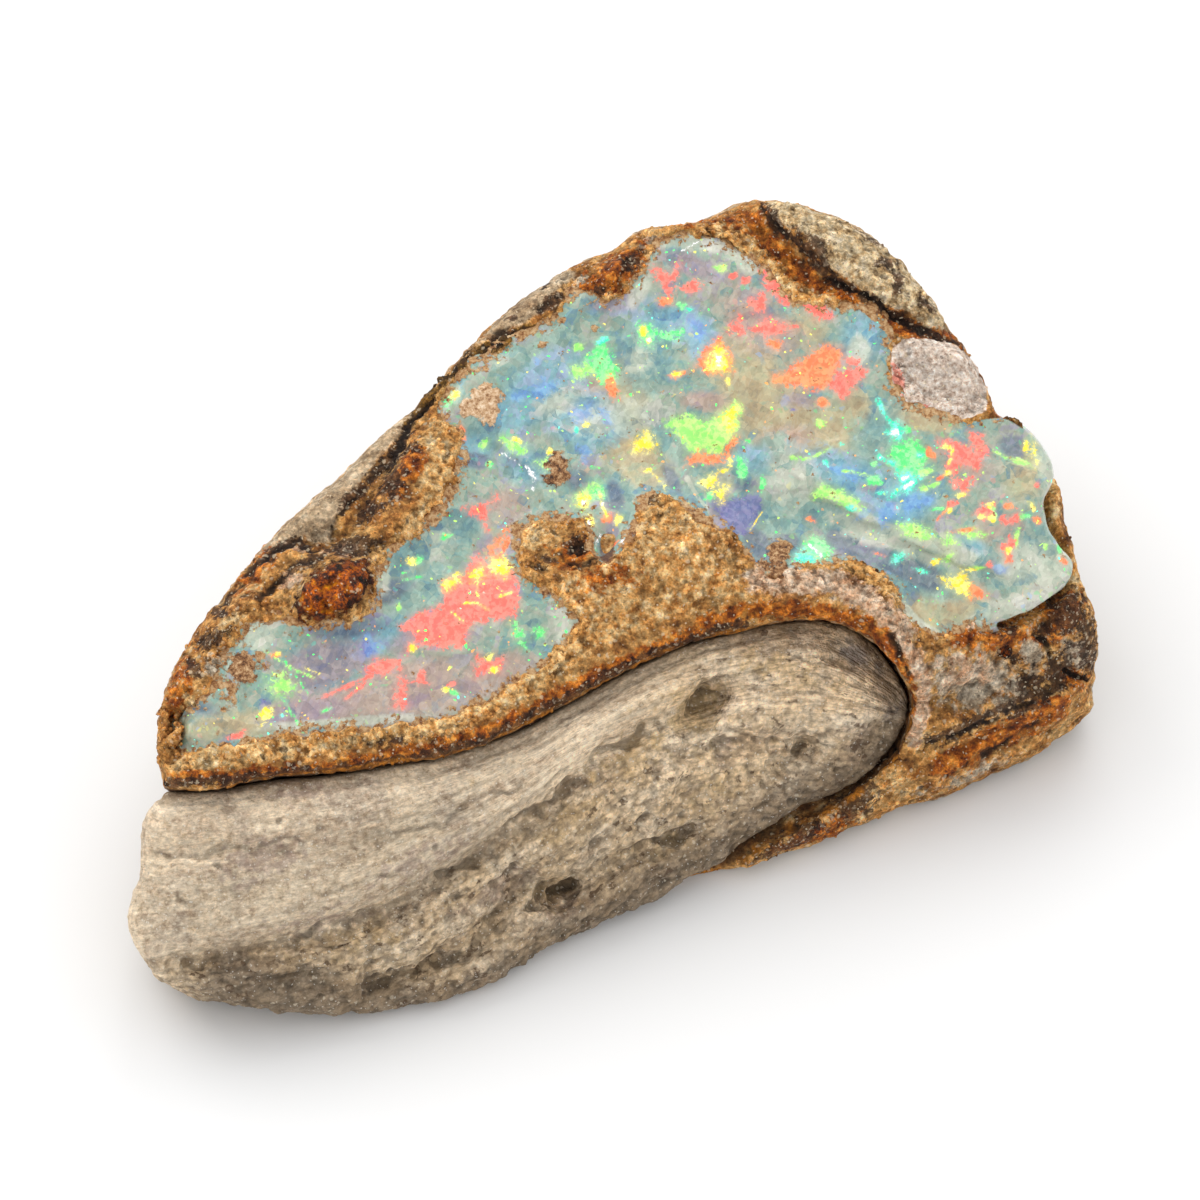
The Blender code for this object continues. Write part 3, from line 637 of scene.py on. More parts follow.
colour, _ = ragged_paint(colour, "slate", (98, 96, 104), 0.6, 0.35, 0.2, 0.75)
colour = mixed(between(stored(tree, "seam"), 0.5, 0.05, 0, 0.75), colour, (112, 84, 52))
# Painted shade in the creases and pits.
colour = mixed(between(stored(tree, "hollow"), 0.15, 0.75, 0, 0.75), colour, (92, 78, 60))
crumbly = stored(tree, "crumbly")
warm_share = times(crumbly, between(noise(mm, 2.2, 4.0, 0.6), 0.40, 0.60, 0.15, 0.6))
colour = mixed(warm_share, colour, (210, 178, 134))
shade = evenly(grains["Shade"], 0.0, 1.0, 0.80, 1.20)
fibre_share = times_plus(crumbly, -0.8, 1.0)
shade = times(shade, times_plus(between(threads, 0.3, 0.7, -0.22, 0.22), fibre_share, 1.0))
shade = times(shade, times_plus(between(mottle, 0.34, 0.66, -0.13, 0.13), crumbly, 1.0))
rough_shade = evenly(chips["Shade"], 0.0, 1.0, -0.20, 0.20)
shade = times(shade, times_plus(rough_shade, crumbly, 1.0))
# Painted shade in the hollows and painted light on the knobs.
shade = times(shade, between(stored(tree, "cavity"), -0.05, 0.07, 1.14, 0.58))
# Painted light on the upper flank and a little painted shade on the lower half.
shade = times(shade, between(stored(tree, "lower"), 0.2, 0.9, 1.16, 0.96))
flake_place = drawn_out(lanes, (0.5, 1.0, 0.7))
flake_bend = noise(mm, 0.5, 3.0, kind="Color")
flake_place = bent_by(flake_place, flake_bend, 0.35)
flakes = cells(flake_place, 0.30)
flake_lot = lots_of(flakes["Color"])
flake_shade = times_plus(minus(flake_lot[0], 0.5), times_plus(crumbly, 0.3, 0.08), 1.0)
flake_edge = between(flakes["Distance"], 0.40, 0.80, 0.0, -0.34)
flake_shade = times(flake_shade, times_plus(flake_edge, times_plus(crumbly, 0.8, 0.2), 1.0))
shade = times(shade, times(flake_shade, stored(tree, "tone")))
colour = mixed(times(stored(tree, "darker_foot"), 0.4), colour, (190, 158, 122))
colour = shaded(colour, shade)
chink = times(between(flake_lot[1], 0.93, 0.95), between(mottle, 0.56, 0.44))
colour = mixed(times(chink, times_plus(crumbly, 0.7, 0.1)), colour, (86, 64, 44))
slits = noise(drawn_out(lanes, (0.35, 1.0, 0.6)), 0.24, 3.0, 0.6, 0.3)
colour = mixed(times(between(slits, 0.64, 0.72), 0.45), colour, (116, 90, 64))
dark_share = times_plus(crumbly, 0.5, 0.06)
for source, kind, share, paint in [
    (chips, "Dark specks", dark_share, (96, 72, 50)), (grains, "Dark specks", dark_share, (84, 66, 50)),
    (chips, "Pale specks", 0.4, (244, 230, 204)), (grains, "Pale specks", 0.55, (244, 238, 226)),
]:
    colour = mixed(times(source[kind], share), colour, paint)
height = plus(times(grains["Height"], 0.6), times(threads, 0.8))
height = plus(height, times(chips["Height"], 0.8))
height = minus(height, times(flakes["Distance"], 1.1))
finish_surface(shader, colour, evenly(mottle, 0.3, 0.7, 0.95, 0.75), height, 0.75, 0.00026)
finish_piece("pale_siltstone_nodule", nodule, "siltstone_nodule", siltstone)

# ---- The sandstone ----
# The rock that holds the opal: coarse sandstone soaked with iron, in brown, rust and tan, under a weathered grey rind.
# Dark fissures run between rind and crust, glassy ironstone sits in it at the left, and quartz fills its upper lip.

OPAL_RIM = [
    (-25.4, -8.8), (-25.2, -6.8), (-23.4, -5.8), (-22.4, -3.4), (-21.2, -1.6), (-19.4, -1.0), (-17.6, -1.6),
    (-15.4, -1.3), (-13.4, -0.2), (-13.2, 2.0), (-11.6, 3.5), (-9.8, 5.0), (-8.5, 7.2), (-8.3, 9.6), (-9.6, 11.6),
    (-8.2, 13.7), (-5.6, 15.3), (-2.8, 17.0), (-1.4, 18.7), (0.2, 18.1), (1.8, 18.8), (2.8, 20.4), (4.2, 21.9),
    (7.4, 21.7), (9.8, 20.0), (11.8, 18.0), (14.0, 17.6), (16.2, 17.4), (17.5, 15.4), (17.4, 13.4), (18.6, 11.8),
    (21.4, 10.8), (24.4, 11.0), (26.4, 9.6), (27.3, 7.6), (26.6, 5.8), (27.2, 3.8), (28.5, 2.0), (27.4, 0.4),
    (25.0, -1.0), (22.0, -1.7), (20.0, -2.2), (18.2, -1.0), (17.4, 1.0), (15.0, 2.3), (12.4, 2.0), (9.9, 1.9),
    (8.0, 3.8), (5.6, 5.4), (2.9, 6.4), (2.2, 4.6), (0.2, 2.4), (-1.2, 4.8), (-4.6, 4.6), (-5.0, 2.2), (-3.0, 0.4),
    (-1.4, -1.4), (-3.4, -3.8), (-6.4, -5.6), (-9.0, -7.0), (-12.6, -7.5), (-16.6, -7.7), (-20.4, -8.4), (-23.6, -9.0),
]
FREE_END = (27.0, 4.0, 4.2, 6.2, 0)
ROCK_TRIANGLES = 196000
RIND = [
    [(-21.6, 1.9), (-20.2, 2.8), (-19.0, 3.5), (-18.0, 3.8), (-17.2, 3.5), (-16.4, 3.5), (-15.9, 4.4), (-15.3, 5.6),
     (-14.5, 6.8), (-13.4, 8.2), (-12.3, 9.6), (-11.5, 10.8), (-11.2, 11.8), (-14, 14), (-24, 6), (-24, 3)],
    [(-9.2, 14.0), (-8.0, 14.8), (-6.4, 15.9), (-4.4, 16.6), (-3.4, 17.4), (-2.4, 18.6), (-1.6, 19.4), (-2.2, 20.2),
     (-3.2, 21.4), (-6, 20), (-9, 16.5)],
]
CREAM = [(10.0, 24.2), (12, 23.8), (14, 23.2), (16, 22.4), (18, 21.2), (20, 19.2), (21.6, 17.4), (21.4, 16.2),
         (19.6, 16.5), (18.2, 17.2), (16.2, 18.4), (14.6, 19.4), (13.5, 20.3), (12.9, 21.3), (12.2, 22.2), (10.9, 22.6),
         (10.3, 23.2)]
PALE_INCLUSION = [(17.7, 15.3), (17.5, 13.6), (18.0, 12.2), (19.2, 11.2), (20.6, 10.8), (22.3, 10.9), (23.2, 11.4),
                  (23.2, 12.8), (22.4, 14.4), (21.1, 15.4), (19.4, 15.8)]
FISSURES = [  # half width, depth, route
    (0.22, 0.45, [(-22.6, -0.2), (-20.4, 2.1), (-19.2, 3.1), (-18.2, 3.5), (-17.3, 3.1), (-16.4, 3.2), (-15.8, 4.3),
                  (-15.2, 5.3), (-14.4, 6.5)]),
    (0.26, 0.45, [(-14.4, 6.5), (-13.5, 7.6), (-12.5, 8.7), (-11.6, 10.2), (-10.6, 11.6), (-9.4, 13.1), (-8.0, 14.3),
                  (-6.4, 15.3), (-4.2, 16.3)]),
    (0.20, 0.40, [(-22.6, -0.3), (-21.4, 0.0), (-20.1, 0.1), (-19.2, 1.2), (-18.0, 2.0), (-16.6, 2.6)]),
    (0.26, 0.60, [(9.8, 23.6), (10.8, 22.4), (12.2, 21.2), (13.0, 20.1), (14.2, 19.1), (15.6, 18.4), (16.8, 17.6),
                  (18.4, 16.6), (20.2, 15.9), (21.6, 15.6)]),
    (0.22, 0.80, [(26.4, -2.2), (26.9, -3.4), (27.6, -4.2), (28.6, -4.7), (29.6, -4.9)]),
    (0.24, 0.45, [(19.6, -9.0), (22.4, -7.7), (25.2, -6.4), (28.0, -5.4)]),
    (0.20, 0.35, [(20.6, -10.3), (23.4, -9.0), (26.4, -7.4)]),
    (0.22, 0.35, [(-2.8, 3.4), (-1.4, 2.2), (0.4, 2.6)]),
    (0.18, 0.50, [(17.2, -2.0), (18.2, -3.9), (18.5, -6.0), (17.9, -8.0), (17.8, -9.6)]),
]
AMBER_LUMP = (-15.9, 0.6, 2.6, 1.35, 32)
STAINS_AND_PAINTED_SHADOW = {  # stain, and painted shadow among the dark spots: spots, routes with their half widths
    "rust": (
        [(0.8, 19.6, 2.2, 0.9, 35, 1.1), (8.6, 23.0, 1.2, 0.5, 20), (22.0, -2.3, 1.3, 0.5, 8),
         (24.2, -2.2, 1.6, 0.7, 20), (27.6, -1.0, 1.6, 0.9, 50, 1.1), (-11.4, 7.8, 1.6, 0.7, 60, 0.9),
         (-20.6, 1.6, 1.6, 0.5, 45, 0.9), (-21.4, -4.2, 0.8, 0.8, 0, 1.1), (-25.0, -5.0, 0.8, 2.2, -8, 0.8),
         (-24.6, -1.4, 0.6, 1.6, -25, 0.7), (28.4, -4.6, 1.4, 0.5, -10), (24.0, -8.2, 3.2, 0.6, 25, 0.9),
         (13.0, -14.0, 2.6, 0.5, 24, 0.9), (-1.6, 2.8, 1.4, 0.9, 10, 0.9), (0.4, 1.2, 1.8, 0.8, 20, 0.8),
         (5.6, 22.7, 1.6, 0.3, 8, 0.9), (-12.6, 12.2, 1.4, 0.3, 45, 0.7)],
        [(0.62, [(9.4, 22.6), (10.6, 21.2), (12.0, 19.8), (13.6, 18.9), (15.2, 18.2)]),
         (0.55, [(17.6, 16.9), (19.4, 15.9), (21.4, 15.7)]),
         (0.40, [(22.0, 15.9), (23.1, 14.4), (23.8, 12.4), (24.2, 11.2)]),
         (0.38, [(-25.2, -10.5), (-18.6, -10.2), (-12.0, -9.2), (-6.6, -7.7), (-1.8, -5.3), (2.6, -3.2), (6.0, -1.7)]),
         (0.7, [(20.6, -9.8), (24.0, -8.2), (27.6, -6.4)]),
         (0.48, [(6.0, -1.5), (8.8, -0.7), (13.2, -0.8), (16.2, -1.7), (17.8, -3.7), (18.5, -6.4)])],
    ),
    "dark": (
        [(28.0, -0.7, 1.3, 1.0, 60, 1.2), (29.3, -3.0, 0.7, 1.6, 15, 1.0), (26.8, -1.9, 0.9, 0.5, 30, 1.0),
         (24.6, -1.9, 0.8, 0.35, 20, 0.9), (27.2, -5.4, 1.4, 0.4, 25, 0.9), (12.9, 21.2, 1.1, 0.55, -50, 1.1),
         (17.9, 19.1, 0.35, 0.75, 10, 1.1), (17.1, 20.3, 0.6, 0.3, 0), (19.6, 17.8, 0.7, 0.3, -40),
         (16.4, 21.8, 1.6, 0.25, -38, 0.9), (-12.4, 7.0, 1.3, 0.7, 70), (-13.8, 5.2, 1.1, 0.5, 40, 0.9),
         (-14.6, 3.2, 1.6, 0.55, 8, 1.1), (-17.6, 2.2, 1.3, 0.3, 25, 1.1), (-11.2, 9.0, 0.6, 0.4, 30, 0.9),
         (-23.2, -2.4, 0.9, 0.5, 30), (-22.8, -0.7, 0.5, 0.4, 0), (-24.2, -4.2, 0.5, 0.7, 20, 0.9),
         (-21.2, -3.3, 0.4, 0.3, 0, 0.9), (-2.9, 17.8, 0.8, 0.4, 40, 1.1), (-5.2, 16.9, 0.35, 0.18, 30),
         (-5.8, 17.4, 0.3, 0.15, 30), (-3.2, 19.0, 0.5, 0.2, 45, 0.9), (1.9, 20.4, 0.8, 0.5, 40),
         (0.1, 18.5, 0.4, 0.3, 30), (-1.5, 3.3, 0.9, 0.5, 30, 0.9), (-3.2, 2.4, 0.7, 0.4, 40, 0.9),
         (29.2, -1.8, 0.6, 1.4, 20, 0.9), (27.4, -3.9, 0.7, 0.4, -50, 1.1), (24.9, -3.6, 0.5, 0.35, 0, 0.9),
         (25.6, -6.6, 1.4, 0.3, 20, 1.0), (22.0, -7.9, 1.3, 0.3, 28, 1.0), (16.6, 2.0, 1.0, 0.25, -25, 1.0),
         # Painted shadow: the dark strip at (11.4, -14.6) and the spots at (15.2, -12.2) and (12.0, -13.8) lie in the
         # gap under the nodule's right end.
         (-12.6, -8.4, 2.2, 0.18, 8, 0.8), (11.4, -14.6, 2.4, 0.35, 24, 1.0), (3.0, 6.0, 0.6, 0.4, 30, 0.9),
         (-15.0, 6.0, 0.3, 0.8, -35, 0.9), (27.5, -4.2, 1.2, 1.1, 0, 0.9), (25.6, -5.0, 0.9, 0.7, 0, 0.9),
         (15.2, -12.2, 1.7, 0.9, 30, 0.9), (12.0, -13.8, 1.6, 0.6, 30, 0.9)],
        [(0.30, [(10.0, 23.7), (11.0, 22.3), (12.3, 21.3), (13.1, 20.1), (14.3, 19.1), (15.8, 18.3), (17.0, 17.5),
                 (18.6, 16.6), (20.4, 15.8), (21.8, 15.4)]), (0.22, [(19.6, -8.4), (23.4, -6.8), (27.8, -4.9)]),
                 (0.34, [(-14.6, 6.2), (-13.5, 7.5), (-12.5, 8.6), (-11.6, 10.2)]),
                 (0.25, [(-20.1, 2.2), (-19.2, 3.1), (-18.2, 3.5), (-17.3, 3.1)]),
                 (0.30, [(-25.6, -10.9), (-19.0, -10.4), (-12.4, -9.6), (-6.8, -8.2), (-2.0, -5.8), (2.8, -3.4),
                         (8.6, -1.3)])],
    ),
    "olive": (
        [(-10.6, 11.5, 0.9, 0.3, 55)],
        [(0.34, [(-11.6, 10.4), (-10.3, 12.1), (-9.3, 13.3), (-8.0, 14.4), (-6.2, 15.4), (-4.2, 16.3)])],
    ),
    "tan": (
        [(-9.6, 8.6, 2.2, 1.0, 75), (-9.7, 5.6, 1.1, 0.6, 40), (4.4, 2.8, 3.6, 2.2, -35), (-0.2, 0.6, 3.4, 1.4, 20),
         (7.4, 22.4, 1.0, 0.4, 10), (-11.0, 4.6, 1.4, 0.5, 45), (-14.6, -1.3, 1.2, 0.4, 10), (-21.0, 0.7, 1.4, 0.4, 45),
         (15.6, -11.9, 3.6, 0.9, 25), (-3.8, 4.0, 1.2, 0.9, 0, 0.9), (12.6, 18.3, 1.0, 0.4, -10),
         (-22.0, -1.6, 0.8, 0.9, 0, 0.8), (26.8, 6.0, 0.6, 2.4, 0, 0.9), (28.6, 1.4, 0.5, 1.4, 15, 0.8),
         (-23.8, -6.0, 1.0, 0.9, 0, 0.8)],
        [(0.34, [(7.2, 22.0), (8.8, 21.3), (10.2, 20.1), (11.3, 18.9), (12.6, 17.9), (14.6, 17.9)]),
         (0.62, [(-24.6, -9.4), (-19.0, -8.9), (-14.0, -8.1), (-9.6, -7.5), (-6.0, -6.1), (-2.4, -3.6), (1.0, -1.6),
                 (4.6, 0.0)])],
    ),
    "quartz": (
        [(21.8, -4.2, 1.9, 1.0, 5, 0.8), (-15.6, 2.9, 1.6, 0.4, 20, 0.7), (-18.6, 1.2, 0.8, 0.4, 30, 0.9),
         (22.0, -1.5, 1.0, 0.3, 12, 0.9), (-18.2, 3.1, 0.8, 0.25, -10, 0.8)],
        [(0.75, [(9.6, 1.4), (11.6, 1.2), (14.2, 0.9), (16.6, -0.4), (18.2, -2.2)]),
         (0.5, [(18.6, -3.0), (19.3, -4.6), (19.4, -6.0), (18.9, -8.2)])],
    ),
    "greyish": (
        [(22.4, -4.8, 3.0, 1.5, -8), (28.7, -3.2, 0.9, 1.1, 20), (26.0, -3.0, 0.8, 1.4, 10, 0.8),
         (-0.9, 18.9, 0.7, 0.6, 0), (3.0, 21.6, 0.7, 0.22, 30), (-22.6, -4.2, 0.9, 1.2, 0, 0.8),
         (22.0, -10.4, 3.0, 0.4, 22, 0.7)],
        [],
    ),
    "coral_stain": (
        [(17.9, 13.2, 0.3, 1.0, 12, 1.0), (19.5, 11.6, 0.6, 0.2, 10, 0.9)],
        [],
    ),
    "amber": (
        [AMBER_LUMP, (24.3, -3.2, 0.5, 0.45, 0, 0.9)],
        [],
    ),
}


def outline_field(place, outline, width=1.0, steps=3):
    """A field that is 0.5 on an outline and rises inwards."""
    return np.clip(0.5 - outside(place, outline, steps) / width, 0, 1.5)


def sight_heights(node):
    """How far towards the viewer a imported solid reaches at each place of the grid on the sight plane."""
    edit = packed_solid(node)
    tree = BVHTree.FromBMesh(edit)
    edit.free()
    heights = np.full(len(GRID), np.nan)
    for number, start in enumerate(map(Vector, (off_sight(GRID + [0, 0, 60]) * 0.001).tolist())):
        gap = tree.ray_cast(start, Vector((-SIGHT[2]).tolist()))[3]
        if gap is not None:
            heights[number] = 60 - gap * 1000
    return heights.reshape(GRID_SHAPE)


def unborne(place):
    """1 on the end of the opal that stands clear of the rock, 0 elsewhere."""
    return soft_step(1.6 - stretched(place, FREE_END))


def face_at(place):
    """The height of the face under each place, from the grid."""
    column = np.clip((place[:, 0] - GRID_U[0]) / GRID_STEP, 0, GRID_SHAPE[1] - 1.001)
    row = np.clip((place[:, 1] - GRID_V[0]) / GRID_STEP, 0, GRID_SHAPE[0] - 1.001)
    c, r = column.astype(int), row.astype(int)
    right, up = column - c, row - r
    lower_row = face[r, c] * (1 - right) + face[r, c + 1] * right
    upper_row = face[r + 1, c] * (1 - right) + face[r + 1, c + 1] * right
    return lower_row * (1 - up) + upper_row * up


def on_skin(place, facing):
    """1 on what looks towards the viewer and lies near the face, 0 elsewhere."""
    return soft_step((facing - 0.1) / 0.3) * (np.abs(place[:, 2] - face_at(place)) < 1.2)


def apron(height, rim):
    """The height of the opal's skin: it slopes down beyond its rim to meet the sandstone."""
    return height - 0.02 - 0.7 * soft_step((rim - 0.3) / 0.6)


def slab(inside, top, thick):
    """A closed slab under a patch of the grid."""
    cell = inside[:-1, :-1] & inside[1:, :-1] & inside[:-1, 1:] & inside[1:, 1:]
    rows, columns = np.nonzero(cell)
    corner = rows * GRID_SHAPE[1] + columns
    quads = np.stack([corner, corner + 1, corner + 1 + GRID_SHAPE[1], corner + GRID_SHAPE[1]], axis=1)
    ends = {(a, b) for quad in quads.tolist() for a, b in zip(quad, quad[1:] + quad[:1])}
    walls = [(b, a, a + len(GRID), b + len(GRID)) for a, b in ends if (b, a) not in ends]
    top_places = GRID + np.outer(top.ravel(), (0, 0, 1))
    corners = off_sight(np.vstack([top_places, top_places - (0, 0, thick)])) * 0.001
    mesh = bpy.data.meshes.new("slab")
    mesh.from_pydata(corners.tolist(), [], quads.tolist() + (quads[:, ::-1] + len(GRID)).tolist() + walls)
    tidy = bmesh.new()
    tidy.from_mesh(mesh)
    bmesh.ops.delete(tidy, geom=[corner for corner in tidy.verts if not corner.link_faces], context="VERTS")
    tidy.to_mesh(mesh)
    tidy.free()
    return mesh


# The face on the sight plane: the opal's own surface, the sandstone's well outside its rim, and a taut skin from one
# to the other. Both rocks follow the skin along the rim, so that they meet with no ditch between them.
TAUT_ROUNDS = 500
GRID_STEP = 0.25
GRID_U = np.arange(-29.0, 31.0, GRID_STEP)
GRID_V = np.arange(-12.0, 25.5, GRID_STEP)
GRID_SHAPE = (len(GRID_V), len(GRID_U))
GRID = np.stack([*np.meshgrid(GRID_U, GRID_V), np.zeros(GRID_SHAPE)], axis=-1).reshape(-1, 3)
grid_rim = outside(GRID, OPAL_RIM).reshape(GRID_SHAPE)
grid_free = unborne(GRID).reshape(GRID_SHAPE)
opal_height, rock_height = sight_heights("opal"), sight_heights("sandstone_matrix")
inner = np.nan_to_num(opal_height, nan=-99.0) > np.nan_to_num(rock_height, nan=-99.0)
for turn in range(3):
    for axis in (0, 1):
        inner = inner & np.roll(inner, 1, axis) & np.roll(inner, -1, axis)
given_height = np.where(inner, opal_height, np.where(grid_rim > 1.1, rock_height, np.nan))
taut = np.isnan(given_height)
face = np.where(taut, np.nanmean(given_height), given_height)
for turn in range(TAUT_ROUNDS):
    frame_of = np.pad(face, 1, mode="edge")
    mean = 0.25 * (frame_of[:-2, 1:-1] + frame_of[2:, 1:-1] + frame_of[1:-1, :-2] + frame_of[1:-1, 2:])
    face = np.where(taut, mean, face)
backed = (grid_free < 0.4) & (np.nan_to_num(rock_height, nan=-99.0) > face - 2.2)
opal_slab = slab(((grid_rim < 0.9) & backed) | (inner & (grid_free < 0.4)), apron(face, grid_rim), thick=1.0)
rock_slab = slab((grid_rim < 1.3) & backed, face + 0.02, thick=1.6)
swollen_opal = bpy.data.meshes.new("swollen_opal")
swollen = packed_solid("opal", swell=0.33)
swollen.to_mesh(swollen_opal)
swollen.free()

rock = worked_copy("sandstone_matrix", swollen_opal, rock_slab, voxel=0.21)
relax(rock, 4)
points, normals = points_of(rock), normals_of(rock)
place = sight_places(points)
rim = outside(place, OPAL_RIM)
free = unborne(place)
bed = gap_to(points, "opal", 1.2)
surface = face_at(place)
flush = on_skin(place, normals @ SIGHT[2]) * soft_step((1.5 - rim) / 0.5) * (1 - free)
place[:, 2] += flush * (np.where(rim > 0, np.maximum(surface, place[:, 2] - 0.3), surface) - place[:, 2])
points = off_sight(place)
place_points(rock, points)

blank = into_scene("rock_blank", rock)
facing = normals_of(rock) @ SIGHT[2]
plainness = np.maximum(0.5 - 1.2 * facing, soft_step((-rim - 0.9) / 0.5) * (bed < 0.7))
coarse = blank.vertex_groups.new(name="coarse")
levels = np.round(soft_step(plainness) * 10).astype(int)
for level in range(11):
    coarse.add(np.flatnonzero(levels == level).tolist(), 0.05 + 0.095 * level, "REPLACE")
thin_out = blank.modifiers.new("thin_out", "DECIMATE")
thin_out.ratio = min(1.0, ROCK_TRIANGLES / (2 * len(rock.polygons)))
thin_out.vertex_group = "coarse"
thin_out.vertex_group_factor = 2.0
rock = applied(blank)

points, normals = points_of(rock), normals_of(rock)
place = sight_places(points)
facing = normals @ SIGHT[2]
on_face = soft_step((facing + 0.15) / 0.4)
bed = gap_to(points, "opal", 1.2)
seam = gap_to(points, "siltstone_nodule", 3.0)
rim = outside(place, OPAL_RIM)
free = unborne(place)
ragged_rim = rim - 0.05 + 0.36 * lumps(points, 1.6, 101) + 0.36 * lumps(points, 0.8, 102) + 0.28 * lumps(points, 0.42,
                                                                                                         103)
flush = on_skin(place, facing) * soft_step((0.9 - free) / 0.4)
covered = soft_step((0.12 - ragged_rim) / 0.28) * flush
sink = covered * (0.40 + 0.6 * soft_step((-rim - 0.8) / 1.2))
sink = np.maximum(sink, np.where(bed < 0.62, 1.1 * soft_step(2.5 * free), 0.0))
sink = 0.5 * sink + 0.5 * neighbour_mean(rock, sink[:, None])[:, 0]
covered = soft_step(sink / 0.3)

rind = np.maximum.reduce([outline_field(place, outline, 1.4) for outline in RIND]) * on_face
rind = np.maximum(rind, 0.72 * (1 - on_face))
cream = outline_field(place, CREAM, 1.2) * on_face
inclusion = outline_field(place, PALE_INCLUSION, 0.8) * on_face
smooth = np.maximum(soft_step((rind - 0.35) / 0.3) * on_face, soft_step((inclusion - 0.4) / 0.3))
wander = wandering(points, 0.4, 1.3, 65, 3)
hollow = np.zeros(len(points))
opened = soft_step(0.55 + 0.8 * rough_relief(points, 1.4, 67, 2))
for width, depth, route in FISSURES:
    hollow += ridge(place + wander, route, width, 0.7 * depth) * opened
hollow *= on_face
bulk = rough_relief(points, 2.6, 61, 4, 0.6)
knobs, lot = nearest_seed(points + 0.3 * wander, 0.85, 62)
small_knobs, small_lot = nearest_seed(points + 0.2 * wander, 0.46, 63)
relief = (0.17 - 0.10 * smooth) * bulk + (0.30 - 0.24 * smooth) * (0.6 - knobs) * lot
relief += (0.16 - 0.12 * smooth) * (0.55 - small_knobs) * small_lot
relief += (0.06 - 0.02 * smooth) * rough_relief(points, 0.5, 68, 2)
ribs = np.stack([0.18 * (place[:, 0] + 2 * place[:, 1]), 2.0 * (place[:, 1] - 0.47 * place[:, 0]), 0.4 * place[:, 2]],
                axis=1)
chunk = soft_step((place[:, 0] - 19.0) / 1.5) * soft_step((-5.5 - place[:, 1] + 0.3 * (place[:, 0] - 24)) / 1.5)
relief += 0.26 * chunk * lumps(ribs, 1.1, 70)
crumbs = soft_step((1.1 - np.abs(rim - 0.35)) / 0.6) * (1 - free) * on_face
relief += crumbs * (0.32 * (0.5 - small_knobs) * (small_lot > 0.35) + 0.16 * np.exp(-((ragged_rim - 0.2) / 0.55) ** 2))
inside_lump = np.clip((1.15 - stretched(place, AMBER_LUMP)) * 2.5, 0, 1) * on_face
buds, _ = nearest_seed(points, 0.8, 71)
relief = relief * (1 - 0.5 * inside_lump) + inside_lump * (0.5 * np.sqrt(np.maximum(0, 1 - buds**2 * 1.3)) - 0.05)
near, lot = nearest_seed(points, 0.9, 73)
pits = 0.18 * soft_step(1.0 - near / 0.28) * (lot < 0.3) * (1 - 0.5 * smooth)
hollow += dome(place, (-1.2, 3.1, 0.8, 0.45, 20), 0.5) * on_face
relief = (relief - hollow - pits) * (1 - covered) - sink
points = points + normals * (relief * soft_step((points[:, 2] - 0.05) / 0.5))[:, None]
points[:, 2] = np.maximum(points[:, 2], 0.0)
place_points(rock, points)

store(rock, "cavity", cavities(rock, 4) * (1 - covered))
store(rock, "rind", rind)
store(rock, "cream", cream)
store(rock, "inclusion", inclusion)
store(rock, "hollow", hollow * (1 - covered) + 0.5 * pits)
store(rock, "seam", seam)
cracks = [(width, route) for width, depth, route in FISSURES]
store(rock, "chink", patches(place + wander, routes=cracks) * on_face * (0.45 + 0.55 * opened))
for name, (spots, routes) in STAINS_AND_PAINTED_SHADOW.items():
    store(rock, name, on_face * patches(place, spots, routes))
store(rock, "lot", np.full(len(points), 0.5))
crunch = 0.5 + 0.75 * crumbs - 0.45 * smooth + 0.25 * soft_step((cream - 0.4) / 0.3)
store(rock, "crunch", np.clip(crunch, 0.02, 1.2) * soft_step((facing - 0.05) / 0.4) * (1 - covered) * (1 - inside_lump))

sandstone, tree, shader = new_material("iron_stained_sandstone")
mm = in_mm(tree)
clouds = noise(mm, 2.6, 6.0, 0.62, 0.4)
mottle = noise(mm, 0.75, 6.0, 0.7)
fine = noise(mm, 0.3, 4.0, 0.7)
grains = use(tree, grain, {"Size": 0.2, "Speck": 0.8})
coarse_grains = use(tree, grain, {"Size": 0.42, "Speck": 1.0})
blend = plus(times(clouds, 0.5), times(mottle, 0.5))
colour = chart(blend, [(0.36, (88, 50, 18)), (0.43, (152, 96, 42)), (0.50, (200, 142, 74)), (0.57, (228, 178, 110)),
                       (0.66, (240, 208, 156))])
for name, value, size, ragged_by, softness, stops in [
    ("rind", blend, 1.2, 0.3, 0.12,
     [(0.36, (126, 98, 70)), (0.44, (174, 146, 112)), (0.52, (200, 174, 140)), (0.60, (216, 196, 166))]),
    ("cream", mottle, 0.8, 0.3, 0.12,
     [(0.34, (132, 102, 66)), (0.44, (196, 162, 114)), (0.54, (226, 202, 160)), (0.66, (238, 220, 190))]),
    ("tan", mottle, 0.9, 0.5, 0.2,
     [(0.34, (172, 104, 38)), (0.45, (220, 160, 88)), (0.56, (240, 200, 138)), (0.68, (248, 226, 184))]),
    ("greyish", mottle, 0.8, 0.45, 0.15,
     [(0.34, (128, 106, 82)), (0.46, (176, 156, 130)), (0.58, (204, 188, 164)), (0.70, (218, 208, 188))]),
    ("quartz", mottle, 0.8, 0.45, 0.15,
     [(0.34, (168, 116, 80)), (0.46, (208, 166, 130)), (0.58, (232, 202, 172)), (0.70, (244, 228, 206))]),
    ("rust", mottle, 0.6, 0.55, 0.15,
     [(0.36, (84, 32, 4)), (0.46, (152, 76, 14)), (0.56, (206, 120, 34)), (0.68, (234, 164, 74))]),
    ("olive", mottle, 0.5, 0.35, 0.15,
     [(0.38, (48, 34, 14)), (0.50, (96, 68, 26)), (0.62, (156, 110, 40))]),
]:
    colour, _ = ragged_paint(colour, name, chart(value, stops), size, ragged_by, softness)
